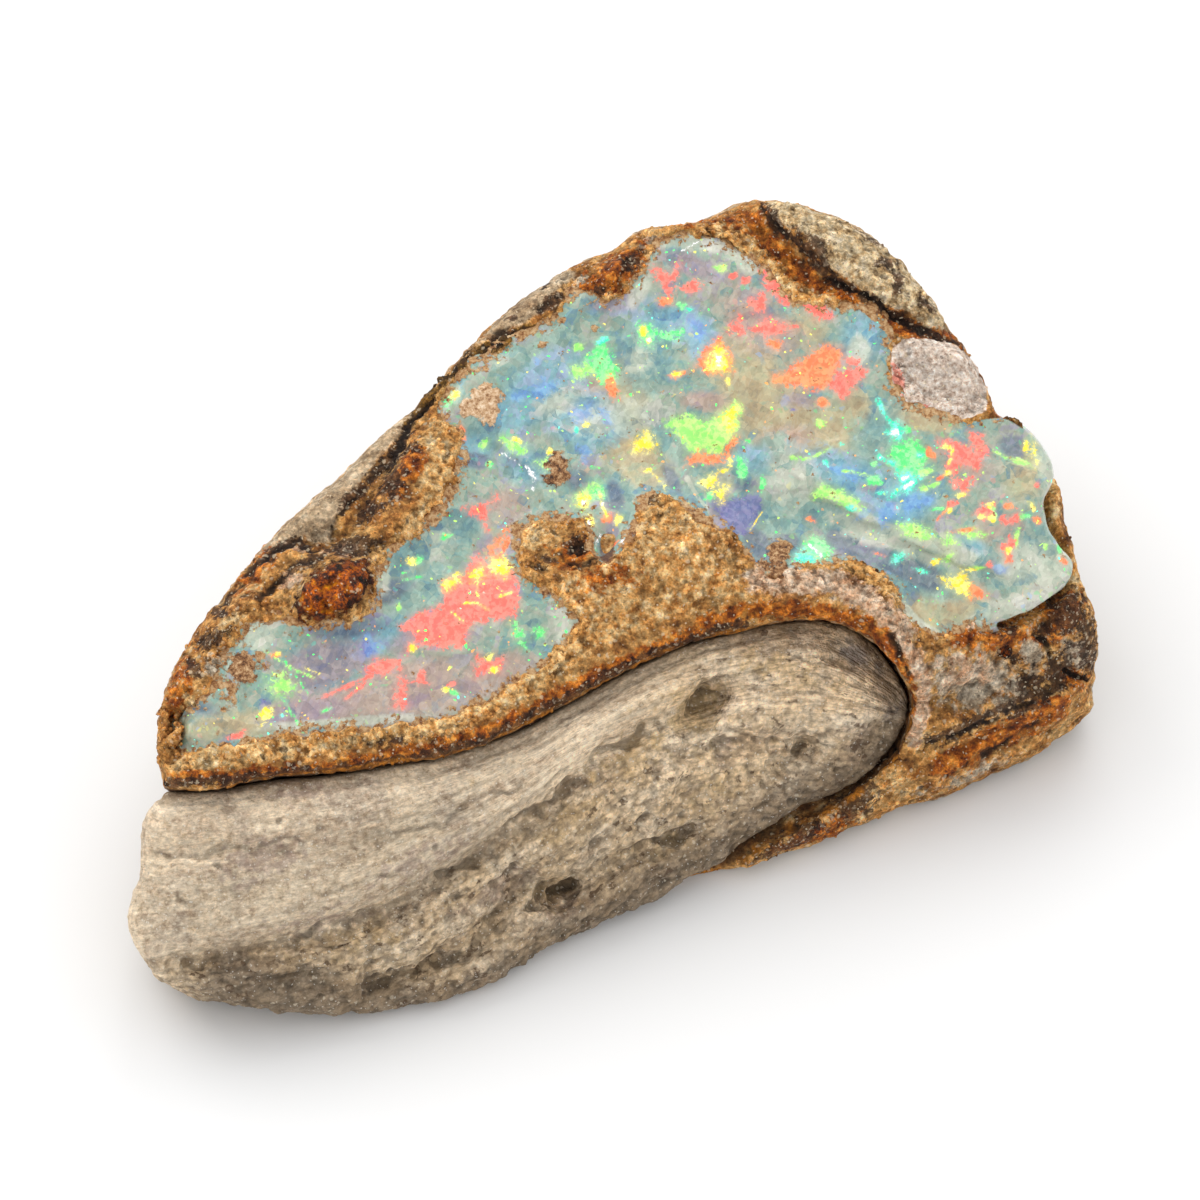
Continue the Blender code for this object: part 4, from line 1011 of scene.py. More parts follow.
dark_paint = chart(mottle, [(0.36, (30, 18, 10)), (0.50, (66, 40, 24)), (0.62, (112, 74, 44))])
# The dark patches are dark crust, and under the nodule's right end they are painted shadow.
colour, dark_mask = ragged_paint(colour, "dark", dark_paint, 0.5, 0.6, 0.14, 0.9)
druse = times(between(noise(mm, 0.34, 3.0, 0.6), 0.58, 0.64), times(dark_mask, 0.6))
colour = mixed(druse, colour, (196, 176, 150))
inclusion_colour = chart(fine, [(0.34, (190, 158, 136)), (0.44, (222, 198, 178)), (0.54, (236, 218, 202)),
                                (0.66, (246, 238, 228))])
colour, inclusion_mask = ragged_paint(colour, "inclusion", inclusion_colour, 0.5, 0.12, 0.05)
colour, _ = ragged_paint(colour, "coral_stain", (232, 128, 106), 0.4, 0.4, 0.15, 0.85)
golden = between(maths("ABSOLUTE", minus(stored(tree, "seam"), 0.95)), 0.3, 0.1)
golden = times(golden, between(noise(mm, 1.6, 3.0), 0.42, 0.6))
under = between(stored(tree, "seam"), 1.2, 0.4)
colour = mixed(times(under, between(clouds, 0.36, 0.52, 0.55, 0.95)), colour, (66, 36, 18))
colour = mixed(golden, colour, (176, 110, 32))
colour, _ = ragged_paint(colour, "chink", (50, 32, 20), 0.5, 0.35, 0.2, 0.8)
amber_mask = ragged_mask(stored(tree, "amber"), 0.6, 0.25, 0.06)
amber_paint = chart(mottle, [(0.40, (20, 8, 0)), (0.47, (92, 36, 0)), (0.55, (186, 88, 0)), (0.66, (244, 156, 12))])
amber_paint = mixed(between(stored(tree, "amber"), 0.72, 0.54, 0, 0.75), amber_paint, (44, 20, 10))
colour = mixed(amber_mask, colour, amber_paint)
# Painted shade in the fissures, pits and the hollow by the opal.
colour = mixed(between(stored(tree, "hollow"), 0.10, 0.60, 0, 0.7), colour, (48, 32, 22))
plain = minus(1.0, times(inclusion_mask, 0.5))
shade = evenly(grains["Shade"], 0.0, 1.0, 0.52, 1.46)
for value, low, high, to_low, to_high in [
    (fine, 0.3, 0.7, 0.66, 1.36), (stored(tree, "lot"), 0.0, 1.0, 0.55, 1.45),
    (coarse_grains["Shade"], 0.0, 1.0, 0.72, 1.34),
]:
    shade = times(shade, evenly(value, low, high, to_low, to_high))
shade = times_plus(minus(shade, 1.0), plain, 1.0)
# Painted shade in the hollows and painted light on the knobs.
shade = times(shade, between(stored(tree, "cavity"), -0.06, 0.08, 1.18, 0.45))
colour = shaded(colour, shade)
for source, kind, share, paint in [
    (grains, "Dark specks", 0.6, (70, 40, 20)), (coarse_grains, "Dark specks", 0.5, (84, 44, 14)),
    (coarse_grains, "Pale specks", 0.5, (246, 224, 188)), (grains, "Pale specks", 0.7, (246, 226, 192)),
]:
    colour = mixed(times(source[kind], share), colour, paint)
gloss = most(times(amber_mask, 0.9), times(grains["Pale specks"], 0.6))
gloss = most(gloss, between(stored(tree, "lot"), 0.7, 0.95, 0, 0.6))
shader.inputs["Specular IOR Level"].default_value = 0.32
height = plus(times(grains["Height"], 0.9), times(fine, 0.8))
height = plus(height, times(coarse_grains["Height"], 1.0))
finish_surface(shader, colour, between(gloss, 0.0, 1.0, 0.78, 0.22), height, 0.85, 0.00026)
finish_piece("iron_stained_sandstone_rock", rock, "sandstone_matrix", sandstone)

# ---- The loose sand ----
# Quartz grains and crumbs of the sandstone that stand out of its broken face, thickest along the rim of the opal.
# Each is a small angular crystal, half sunk in the rock, with the colour of the rock around it but a shade of its own.

strew = bpy.data.node_groups.new("strewn_grains", "GeometryNodeTree")
for title, direction, kind, value in [
    ("Rock", "INPUT", "NodeSocketGeometry", None), ("Grains per mm2", "INPUT", "NodeSocketFloat", 9.0),
    ("Smallest", "INPUT", "NodeSocketFloat", 0.05), ("Largest", "INPUT", "NodeSocketFloat", 0.19),
    ("Seed", "INPUT", "NodeSocketInt", 7), ("Material", "INPUT", "NodeSocketMaterial", None),
    ("Grains", "OUTPUT", "NodeSocketGeometry", None),
]:
    socket = strew.interface.new_socket(title, in_out=direction, socket_type=kind)
    if value is not None:
        socket.default_value = value
given = strew.nodes.new("NodeGroupInput").outputs
out = strew.nodes.new("NodeGroupOutput").inputs
crunchy = add(strew, "GeometryNodeInputNamedAttribute", {"Name": "crunch"}, data_type="FLOAT").outputs["Attribute"]
density = times(times(given["Grains per mm2"], 1e6), crunchy)
spread_out = add(strew, "GeometryNodeDistributePointsOnFaces",
                 {"Mesh": given["Rock"], "Density": density, "Seed": given["Seed"]})
crystal = add(strew, "GeometryNodeMeshIcoSphere", {"Radius": 0.001, "Subdivisions": 1}).outputs["Mesh"]
stretch = add(strew, "FunctionNodeRandomValue", {0: (0.65, 0.65, 0.5), 1: (1.25, 1.0, 1.0), "Seed": 11},
              data_type="FLOAT_VECTOR").outputs[0]
luck = add(strew, "FunctionNodeRandomValue", {2: 0.0, 3: 1.0, "Seed": 12}, data_type="FLOAT").outputs[1]
grade = maths("POWER", luck, 2.2)
size = evenly(grade, 0.0, 1.0, given["Smallest"], given["Largest"])
scale = add(strew, "ShaderNodeVectorMath", {0: stretch, "Scale": size}, operation="SCALE").outputs[0]
turn = add(strew, "FunctionNodeRandomValue", {0: (0.0, 0.0, 0.0), 1: (6.28, 6.28, 6.28), "Seed": 13},
           data_type="FLOAT_VECTOR").outputs[0]
placed = add(strew, "GeometryNodeInstanceOnPoints", {"Points": spread_out.outputs["Points"], "Instance": crystal,
                                                     "Rotation": turn, "Scale": scale})
lot = add(strew, "FunctionNodeRandomValue", {2: 0.0, 3: 1.0, "Seed": 14}, data_type="FLOAT").outputs[1]
named = add(strew, "GeometryNodeStoreNamedAttribute", {"Geometry": placed.outputs[0], "Name": "lot", "Value": lot},
            data_type="FLOAT", domain="INSTANCE")
real = add(strew, "GeometryNodeRealizeInstances", {"Geometry": named.outputs[0]})
flat = add(strew, "GeometryNodeSetShadeSmooth", {"Geometry": real.outputs[0], "Shade Smooth": False})
painted = add(strew, "GeometryNodeSetMaterial", {"Geometry": flat.outputs[0], "Material": given["Material"]})
strew.links.new(painted.outputs[0], out["Grains"])

blank = into_scene("grain_blank", rock.copy())
strewn = blank.modifiers.new("grains", "NODES")
strewn.node_group = strew
for title, value in [("Grains per mm2", 8.0), ("Smallest", 0.06), ("Largest", 0.22), ("Seed", 7),
                     ("Material", sandstone)]:
    strewn[strew.interface.items_tree[title].identifier] = value
sand_piece = into_scene("sandstone_grains", applied(blank))
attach(sand_piece, "root")

# ---- The opal ----
# A seam of precious opal, milky and glassy, that broke open with the stone and shows its whole face.
# Its colours come from domains of stacked silica spheres: each angular domain flashes one colour, side by side like a
# mosaic, over a body that drifts from blue and teal to olive, mauve and milk.

BODY_ZONES = {  # zone: soft spots, routes with their half widths
    "blue": (
        [(-3.6, 12.5, 3.0, 1.3, 38), (-5.4, 11.4, 1.5, 1.0, 30), (-0.8, 10.8, 2.2, 1.3, -10), (4.4, 16.6, 1.8, 0.9, 0),
         (6.1, 15.8, 0.7, 1.2, 0), (15.4, 7.3, 2.8, 0.9, -24), (18.2, 5.7, 1.6, 1.0, 15), (-7.6, 9.0, 1.2, 0.8, 20),
         (-4.6, 8.2, 1.4, 1.0, -40, 0.8), (8.8, 8.4, 1.2, 0.8, 0, 0.8), (15.8, 15.8, 1.3, 1.5, 0, 0.8),
         (-13.6, -2.2, 2.0, 0.9, 20, 0.8), (1.6, 17.8, 1.6, 0.6, 10, 0.7), (22.4, 3.2, 1.2, 0.5, -20, 0.7),
         (-19.8, 20, 1, 1, 0)],
        [],
    ),
    "teal": (
        [(2.6, 14.7, 1.5, 1.9, 10), (16.9, 9.3, 1.4, 1.8, 0), (11.0, 5.2, 1.6, 0.9, 20), (-10.4, 0.7, 2.0, 0.9, 30),
         (19.4, 1.4, 2.2, 1.0, -22), (10.4, 8.4, 1.1, 1.2, 0), (23.2, 1.9, 1.6, 0.9, -10), (4.6, 9.6, 1.9, 0.7, -52),
         (-11.0, 3.2, 2.0, 0.8, 35), (-8.4, 4.4, 1.6, 0.9, 30), (-7.2, 10.2, 1.0, 0.8, 20),
         (25.6, 3.4, 1.2, 1.8, 0, 0.8), (1.6, 5.6, 0.5, 0.9, 0), (13.6, 5.0, 1.8, 0.6, -15, 0.8),
         (-4.0, 14.6, 2.4, 0.8, 38, 0.7)],
        [],
    ),
    "slate": (
        [(-1.4, 7.2, 0.7, 0.8, 0, 0.7), (9.5, 3.3, 1.0, 0.6, -50), (11.4, 3.4, 0.7, 0.5, 0), (-15.0, -1.7, 1.8, 0.5, 5),
         (-12.8, 0.5, 1.2, 0.6, 20), (0.9, 6.3, 0.4, 0.9, 10), (4.4, 7.2, 0.35, 0.9, 30, 0.9),
         (3.0, 11.0, 0.9, 0.6, -30, 0.8), (8.6, 7.0, 0.6, 0.5, 0, 0.8), (-7.4, 8.4, 0.9, 0.4, 0, 0.9),
         (24.8, 9.2, 0.7, 0.5, -10), (-24.0, -6.4, 1.4, 0.5, -10, 0.7), (7.2, 5.8, 0.5, 1.1, 30, 0.8)],
        [(0.6, [(14.2, 3.8), (16.2, 2.9), (18.2, 2.0), (19.8, 1.3)])],
    ),
    "olive": (
        [(11.0, 11.0, 3.4, 1.6, -15), (13.2, 10.4, 2.2, 1.4, 10), (9.0, 13.2, 1.8, 2.4, 20), (2.2, 8.4, 1.9, 1.1, -40),
         (1.8, 12.4, 1.0, 2.4, 12, 0.9), (20.3, -0.3, 2.0, 1.2, 10), (25.4, 7.4, 1.2, 1.6, 0, 0.7),
         (19.6, 10.8, 1.6, 0.6, -10), (12.4, 16.2, 1.6, 1.0, -20, 0.7), (-21.8, -7.4, 3.0, 0.8, 5, 0.8),
         (21.2, 3.0, 1.6, 0.5, -20, 0.8), (15.4, 11.4, 1.0, 1.2, 0, 0.8)],
        [],
    ),
    "rose": (
        [(6.2, 12.0, 1.2, 0.6, 0, 0.9), (-0.6, 11.6, 1.6, 0.5, 0, 0.7), (-12.6, -5.9, 5.6, 1.2, 9),
         (-6.6, -4.6, 2.4, 1.0, 20), (-10.4, -4.4, 2.0, 0.8, 10), (9.4, 16.8, 2.6, 1.6, -40, 0.8),
         (11.0, 9.6, 2.0, 0.9, 10, 0.7), (-0.4, 12.9, 1.2, 0.6, 10, 0.8), (-5.4, 5.8, 1.4, 1.0, 0, 0.7),
         (14.8, 14.6, 1.8, 0.9, 0, 0.7), (22.0, 8.6, 1.8, 1.0, -20, 0.7), (23.4, 4.0, 1.6, 0.7, 10, 0.6)],
        [],
    ),
    "mauve": (
        [(-16.6, -3.9, 2.4, 1.3, 20), (-17.4, -6.6, 2.4, 0.8, 8, 0.8), (-11.0, -2.0, 1.4, 0.7, 40, 0.9),
         (0.6, 17.8, 1.6, 0.5, 10, 0.8), (5.4, 20.2, 1.8, 0.6, -20, 0.9), (12.0, 12.0, 1.4, 0.6, 0, 0.6),
         (3.4, 4.6, 0.4, 0.6, 0), (7.0, 5.2, 0.3, 1.0, 25, 0.9), (14.4, 3.0, 1.0, 0.5, 0, 0.7),
         (-14.2, -0.9, 1.2, 0.4, 20, 0.7), (16.4, 6.8, 1.0, 0.3, 0, 0.6)],
        [],
    ),
    "milk": (
        [(26.9, 8.6, 0.6, 1.8, 5), (25.4, 2.2, 2.2, 1.4, 0, 0.85), (15.8, 4.4, 1.7, 0.6, -20),
         (20.2, 3.0, 1.9, 0.7, -15), (1.0, 11.0, 2.8, 1.0, 10, 0.8), (-2.6, 11.8, 1.4, 0.8, 20, 0.75),
         (-9.6, 3.6, 1.4, 1.0, 30, 0.6), (11.6, 7.4, 1.5, 1.5, 0, 0.6), (2.2, 14.4, 1.2, 0.8, 0, 0.7),
         (26.6, 1.0, 2.4, 0.7, 42), (24.2, -0.4, 1.6, 0.5, 22), (15.6, 15.0, 0.6, 0.8, 0), (-20.3, -1.7, 0.8, 1.3, -20),
         (-18.8, 0.4, 0.7, 0.8, 20), (5.2, 21.6, 2.4, 0.45, -4), (-13.0, 1.4, 0.4, 0.9, 0), (-0.8, 18.6, 0.6, 0.5, 0),
         (-15.6, -7.3, 4.0, 0.25, 4, 0.9), (8.4, 20.6, 1.6, 0.4, -45, 0.8), (-2.0, -1.6, 0.8, 1.0, 20, 0.8),
         (19.6, -1.8, 0.9, 0.3, -30, 0.9), (2.4, 18.6, 0.4, 0.9, -30, 0.9)],
        [(0.34, [(13.6, 6.3), (15.0, 5.5), (16.4, 4.6), (18.4, 4.0), (20.4, 3.2), (22.2, 2.5)]),
         (0.10, [(5.2, 7.4), (5.8, 6.4), (6.4, 5.6)]), (0.2, [(18.2, -0.2), (18.9, -1.0), (19.6, -1.8)])],
    ),
}
FLASHES_AND_GLINTS = {  # colour: angular domains, round ones, streaks with their half widths
    "indigo": (
        [[(7.0, 5.9), (8.2, 6.1), (9.4, 6.3), (9.8, 5.6), (9.0, 4.3), (8.2, 3.8), (7.5, 4.5)]],
        [(-13.9, -2.8, 0.4, 0.5, 0), (11.6, 11.4, 0.25, 0.12, 0), (-19.9, -6.4, 0.3, 0.5, 0)],
        [],
    ),
    "royal": (
        [[(16.7, 5.4), (17.4, 6.0), (17.7, 5.4), (17.0, 4.4), (16.7, 4.8)],
         [(13.9, 8.0), (15.2, 7.9), (15.6, 7.3), (14.6, 7.2)], [(18.0, 6.2), (19.0, 6.4), (19.2, 5.7), (18.4, 5.2)],
         [(-14.0, -2.1), (-13.4, -2.4), (-13.1, -3.0), (-13.9, -3.4)],
         [(5.4, 17.0), (6.2, 16.6), (6.3, 15.4), (5.8, 15.6)], [(-4.2, 12.6), (-3.4, 13.2), (-2.6, 12.9), (-3.6, 12.2)],
         [(-1.8, 11.4), (-0.6, 11.8), (-0.4, 11.0), (-1.4, 10.6)], [(0.0, 11.6), (0.6, 11.2), (0.7, 10.4), (0.1, 10.8)],
         [(-1.3, 9.4), (-0.5, 8.8), (-0.9, 8.2)]],
        [(-5.0, 12.2, 0.5, 0.35, 20), (19.6, 6.0, 0.5, 0.3, 0), (24.0, 1.9, 0.5, 0.3, 0), (15.8, 5.2, 0.3, 0.4, -40),
         (0.4, 3.95, 0.2, 0.2, 0)],
        [],
    ),
    "lime": (
        [[(4.0, 10.6), (4.8, 10.9), (5.7, 11.1), (6.2, 10.7), (7.0, 11.0), (7.8, 11.5), (8.2, 11.2), (8.1, 10.2),
          (7.9, 9.5), (7.3, 9.0), (6.4, 8.9), (5.4, 9.0), (4.8, 9.9)],
          [(-1.8, 14.0), (-0.9, 14.2), (-0.4, 13.8), (-1.0, 13.3), (-1.6, 13.4)],
          [(17.9, 4.5), (18.8, 4.6), (19.6, 4.2), (20.0, 3.8), (19.2, 3.7), (18.4, 4.0)],
          [(20.6, 3.6), (21.0, 3.9), (21.5, 3.5), (20.8, 3.3)], [(20.5, 2.4), (21.2, 2.8), (20.9, 2.2)],
          [(-5.8, 9.7), (-4.8, 9.4), (-4.4, 9.0), (-5.2, 8.8), (-5.6, 9.2)],
          [(12.8, 6.2), (13.4, 6.9), (14.6, 6.5), (15.4, 5.9), (15.9, 5.2), (15.0, 5.6), (13.8, 6.2)],
          [(-1.4, 6.2), (-0.2, 7.0), (0.1, 6.3), (-0.6, 6.0), (-0.9, 5.4), (-1.4, 5.6)],
          [(-3.8, 8.2), (-3.2, 8.4), (-3.2, 7.9)], [(21.6, 4.1), (22.6, 4.2), (23.0, 3.9), (22.2, 3.7)]],
        [(-19.0, -5.0, 0.8, 0.6, 20, 0.8), (25.0, 3.8, 0.15, 0.5, 0), (-6.9, 9.4, 0.3, 0.25, 0),
         (8.2, 11.4, 0.3, 0.4, 0), (-1.3, 15.2, 0.3, 0.25, 0), (7.3, 19.9, 0.3, 0.3, 0), (25.2, 8.4, 0.5, 0.15, -20),
         (13.2, 10.6, 0.25, 0.2, 0), (19.4, 6.8, 0.25, 0.2, 0), (20.0, 7.0, 0.35, 0.12, 15), (19.4, 7.7, 0.5, 0.2, 20),
         (-12.0, -0.5, 0.15, 0.2, 0), (26.7, 3.2, 0.12, 0.2, 0), (22.6, 1.9, 0.4, 0.15, 0)],
        [(0.12, [(11.4, 8.6), (12.6, 8.6), (13.8, 9.1)]), (0.10, [(14.6, 7.8), (16.2, 7.4), (16.8, 7.0)]),
         (0.08, [(-20.0, -3.0), (-18.4, -4.0), (-17.0, -4.6)]), (0.10, [(23.6, 9.0), (24.4, 8.6), (25.2, 8.4)])],
    ),
    "green": (
        [[(-0.8, 14.6), (0.1, 15.5), (0.5, 15.0), (1.0, 14.0), (0.8, 13.0), (0.1, 13.0), (-0.3, 13.8)],
         [(2.3, 16.5), (3.0, 16.6), (3.2, 16.1), (3.0, 15.3), (2.5, 15.5), (2.4, 16.1)],
         [(3.2, 16.3), (4.0, 16.0), (5.0, 16.4), (4.8, 15.8), (3.8, 15.7), (3.2, 15.9)],
         [(12.2, 3.4), (12.8, 3.8), (13.4, 3.6), (13.9, 3.1), (13.6, 2.5), (12.9, 2.6), (12.4, 3.0)],
         [(-9.4, 12.1), (-8.8, 12.0), (-9.1, 11.6)], [(17.6, 9.4), (18.8, 9.6), (19.5, 9.0), (19.6, 8.2), (19.0, 7.6),
                                                      (18.0, 7.8), (17.4, 8.6)],
                                                      [(-5.2, -1.4), (-4.7, -1.9), (-4.4, -2.8), (-4.9, -2.5)],
                                                      [(-0.6, 6.6), (0.0, 6.9), (0.1, 6.2), (-0.5, 6.1)]],
        [(8.5, 7.9, 0.35, 0.6, 5), (9.8, 7.0, 0.2, 0.4, 0), (4.9, 17.7, 0.25, 0.25, 0), (6.6, 6.3, 0.3, 0.2, 30),
         (-9.2, 3.8, 0.4, 0.2, 20), (-10.8, 2.4, 0.25, 0.2, 0), (-6.5, 8.2, 0.2, 0.2, 0), (-3.6, -2.0, 0.4, 0.3, 0),
         (-8.7, -5.5, 0.3, 0.15, -30), (-8.8, 9.2, 0.3, 0.2, 40), (16.4, 7.2, 0.4, 0.25, 0), (20.2, 5.5, 0.3, 0.12, 0),
         (18.4, 10.2, 0.2, 0.2, 0), (27.6, 3.0, 0.15, 0.25, 0), (8.9, 9.5, 0.2, 0.12, -30), (16.4, 8.2, 0.2, 0.2, 0),
         (23.6, 5.2, 0.2, 0.4, 0), (25.4, 5.0, 0.3, 0.2, 0)],
        [(0.09, [(-18.8, -6.0), (-18.3, -6.8), (-17.9, -7.4)]), (0.07, [(-19.0, -3.4), (-18.0, -4.6), (-17.4, -5.6)]),
         (0.1, [(-11.7, 1.2), (-10.6, 1.4)]), (0.1, [(-16.6, -6.6), (-16.0, -6.4)])],
    ),
    "turquoise": (
        [[(17.3, 10.2), (17.7, 10.6), (18.2, 10.4), (18.1, 9.8), (17.5, 9.7)],
         [(17.9, 7.7), (18.6, 7.6), (19.3, 7.4), (18.6, 6.7), (17.4, 6.3), (18.2, 6.9)],
         [(11.7, 2.9), (12.3, 3.0), (12.9, 2.5), (12.4, 2.2), (11.8, 2.4)]],
        [(17.4, 8.3, 0.35, 0.2, -20), (16.8, 8.6, 0.22, 0.18, 0), (19.2, 8.7, 0.25, 0.18, 0),
         (13.6, 8.3, 0.2, 0.15, -30), (14.5, 9.4, 0.15, 0.1, 0), (5.4, 17.5, 0.25, 0.12, 0), (15.0, 5.5, 0.3, 0.25, 0),
         (-18.9, -6.9, 0.15, 0.12, 0), (0.1, 15.6, 0.4, 0.15, 20), (-1.4, 10.2, 0.12, 0.2, 0),
         (18.0, 2.6, 0.4, 0.3, 30, 0.8), (19.4, 1.8, 0.4, 0.15, -20)],
        [(0.16, [(16.7, 12.0), (17.0, 11.4), (17.4, 10.6)]), (0.12, [(17.6, 8.2), (17.9, 7.7), (18.2, 7.2)]),
         (0.1, [(16.6, 6.5), (17.6, 6.4), (18.6, 6.8), (19.4, 7.3)])],
    ),
    "orange": (
        [[(10.4, 13.4), (11.6, 14.0), (12.6, 14.8), (13.6, 15.3), (14.3, 15.2), (14.4, 14.6), (14.0, 13.2),
          (13.4, 12.7), (12.4, 12.7), (11.4, 12.9), (10.6, 13.0)],
          [(5.3, 8.2), (5.9, 8.9), (6.6, 8.7), (7.4, 8.8), (7.9, 9.6), (8.2, 9.7), (7.7, 8.7), (6.9, 8.25), (6.2, 8.4)],
          [(22.1, 0.8), (22.8, 0.8), (23.2, 0.3), (22.3, 0.1)],
          [(-6.6, 3.1), (-5.9, 4.0), (-5.3, 4.5), (-6.0, 3.2), (-6.4, 2.8)],
          [(6.4, 15.2), (7.2, 15.7), (7.8, 14.8), (7.9, 13.8), (6.5, 13.7), (5.8, 14.1)]],
        [(0.6, 12.8, 0.3, 0.6, 10), (3.9, 17.9, 0.5, 0.25, 10), (10.5, 15.4, 0.4, 0.3, 0), (0.4, 4.9, 0.3, 0.25, 0),
         (24.5, 5.6, 0.3, 0.25, -50), (26.2, 4.8, 0.25, 0.2, 0), (4.7, 13.6, 0.5, 0.2, 10), (13.4, 11.9, 0.3, 0.25, 0),
         (0.6, 3.5, 0.3, 0.2, 30), (-5.6, 3.4, 0.2, 0.35, -20), (24.5, 2.6, 0.2, 0.3, 0), (12.7, 4.9, 0.3, 0.12, -30),
         (-8.3, 10.0, 0.3, 0.35, 0), (27.8, 2.4, 0.15, 0.3, 20), (19.8, 8.9, 0.2, 0.4, 30), (-19.3, -3.3, 0.3, 0.15, 0),
         (21.8, 4.2, 0.5, 0.15, 10)],
        [(0.12, [(20.3, 7.3), (21.0, 7.7)]), (0.09, [(16.4, 3.0), (17.2, 2.7)]), (0.1, [(20.2, 4.8), (21.2, 5.9)]),
         (0.06, [(5.0, 8.0), (5.8, 8.6)])],
    ),
    "coral": (
        [[(-9.4, 1.0), (-8.0, 1.7), (-7.4, 2.7), (-6.6, 2.2), (-6.0, 2.9), (-5.5, 2.0), (-5.0, 1.2), (-4.8, 0.0),
          (-5.2, -1.0), (-6.4, -1.1), (-7.6, -1.4), (-8.0, -2.2), (-8.2, -2.7), (-9.4, -2.8), (-10.8, -2.6),
          (-11.6, -3.2), (-11.0, -2.2), (-11.8, -1.6), (-10.8, -0.9), (-9.6, -0.5), (-9.1, 0.2)],
          [(-13.3, -3.5), (-11.9, -3.6), (-11.9, -4.0), (-13.0, -4.4), (-13.9, -4.2)],
          [(-11.9, -4.3), (-11.5, -6.3), (-12.3, -6.4), (-12.0, -5.4)],
          [(-7.4, -3.1), (-6.4, -3.7), (-5.8, -3.5), (-5.9, -4.2), (-6.6, -4.2), (-7.4, -4.5), (-7.2, -3.8)],
          [(-8.1, 5.4), (-6.6, 5.8), (-6.2, 6.2), (-6.8, 5.2), (-6.7, 4.2), (-7.3, 5.1)],
          [(20.3, 9.6), (21.6, 9.4), (22.2, 8.9), (22.8, 8.2), (22.6, 7.7), (21.8, 8.4), (21.3, 7.6), (20.8, 7.9),
           (21.1, 8.8)], [(22.2, 10.1), (22.9, 9.8), (23.2, 8.8), (22.8, 8.6), (22.4, 9.4)],
           [(21.2, 7.1), (22.4, 7.4), (22.1, 6.8), (21.8, 6.3), (21.5, 6.7)],
           [(22.6, 5.2), (23.0, 5.8), (23.5, 5.7), (23.6, 5.0), (23.0, 4.8)],
           [(24.1, 4.8), (25.1, 5.2), (25.2, 4.5), (24.6, 4.5)], [(24.0, 3.2), (24.5, 3.7), (24.9, 3.6), (24.5, 2.4)],
           [(3.1, 20.0), (4.3, 19.7), (4.8, 20.2), (4.6, 19.4), (4.1, 18.4), (3.5, 19.2)],
           [(9.7, 19.9), (11.2, 18.9), (12.0, 18.1), (11.2, 17.8), (10.2, 18.6)],
           [(9.0, 18.0), (9.8, 18.4), (9.9, 17.5), (9.3, 17.3)], [(7.7, 16.3), (8.4, 17.0), (8.6, 16.2), (8.0, 16.1)],
           [(9.3, 16.4), (10.0, 17.1), (10.8, 16.7), (11.9, 16.5), (11.4, 16.2), (10.0, 16.0)],
           [(14.0, 13.6), (14.8, 13.9), (15.9, 13.9), (15.8, 13.3), (15.2, 12.8), (14.6, 12.1), (14.0, 12.8)],
           [(12.3, 17.8), (13.6, 17.7), (13.9, 17.0), (12.9, 16.9)]],
        [(5.4, 18.8, 0.5, 0.35, 0), (8.0, 19.5, 0.3, 0.2, 20), (8.8, 19.2, 0.35, 0.2, 20), (21.1, 5.8, 0.25, 0.2, 30),
         (23.3, 2.1, 0.2, 0.2, 0), (26.2, 6.9, 0.2, 0.15, 30), (9.8, 18.2, 0.2, 0.3, 0),
         (-10.6, -4.6, 0.3, 0.4, 0, 0.9), (-8.8, -5.0, 0.3, 0.15, 20), (15.2, 14.3, 0.4, 0.25, 0, 0.9),
         (-21.6, -8.0, 0.7, 0.2, 20, 0.8)],
        [(0.16, [(-13.6, -4.5), (-15.0, -5.1), (-16.4, -5.7)]), (0.12, [(-14.0, -5.0), (-15.2, -5.9)]),
         (0.07, [(-12.0, -4.8), (-10.0, -4.9)])],
    ),
    "yellow": (
        [[(7.1, 15.3), (7.6, 14.6), (7.7, 13.9), (6.7, 13.8), (6.5, 14.3), (6.8, 14.9)],
         [(2.0, 9.5), (2.8, 10.2), (3.4, 9.4), (3.0, 9.1), (2.1, 9.0)],
         [(6.1, 7.1), (6.8, 7.5), (7.1, 7.0), (6.5, 6.9)], [(6.9, 6.7), (7.7, 6.9), (7.5, 6.3), (7.3, 6.0)],
         [(-6.6, 2.3), (-5.9, 2.6), (-5.3, 2.0), (-5.7, 1.4), (-6.4, 1.7)],
         [(-9.3, 1.1), (-8.5, 1.5), (-8.4, 1.2), (-9.2, 0.6)], [(-7.7, 1.5), (-7.1, 1.9), (-7.0, 1.4), (-7.6, 1.2)],
         [(20.5, 1.3), (21.2, 1.4), (21.7, 1.6), (22.1, 1.0), (22.0, 0.4), (21.4, 0.6), (20.9, 1.0)],
         [(7.3, 10.9), (8.1, 11.6), (8.0, 10.2), (7.6, 10.2)]],
        [(-11.2, 2.25, 0.3, 0.26, 0), (-19.9, -6.8, 0.34, 0.42, 0), (-11.2, -2.9, 0.22, 0.22, 0),
         (-6.6, -3.4, 0.22, 0.2, 0), (-6.3, -4.1, 0.25, 0.22, 0), (20.8, 9.2, 0.2, 0.16, 0),
         (20.9, 7.6, 0.24, 0.16, 20), (22.9, 5.0, 0.18, 0.18, 0), (23.5, 4.9, 0.2, 0.2, 0), (23.4, 5.7, 0.22, 0.16, 0),
         (24.5, 2.95, 0.2, 0.24, 0), (1.1, 4.8, 0.26, 0.24, 0), (-1.0, 5.8, 0.4, 0.35, 0), (-0.7, 4.7, 0.24, 0.36, 10),
         (20.1, 2.2, 0.28, 0.14, 0), (21.6, 6.3, 0.28, 0.12, 10), (22.3, 1.75, 0.4, 0.14, 10),
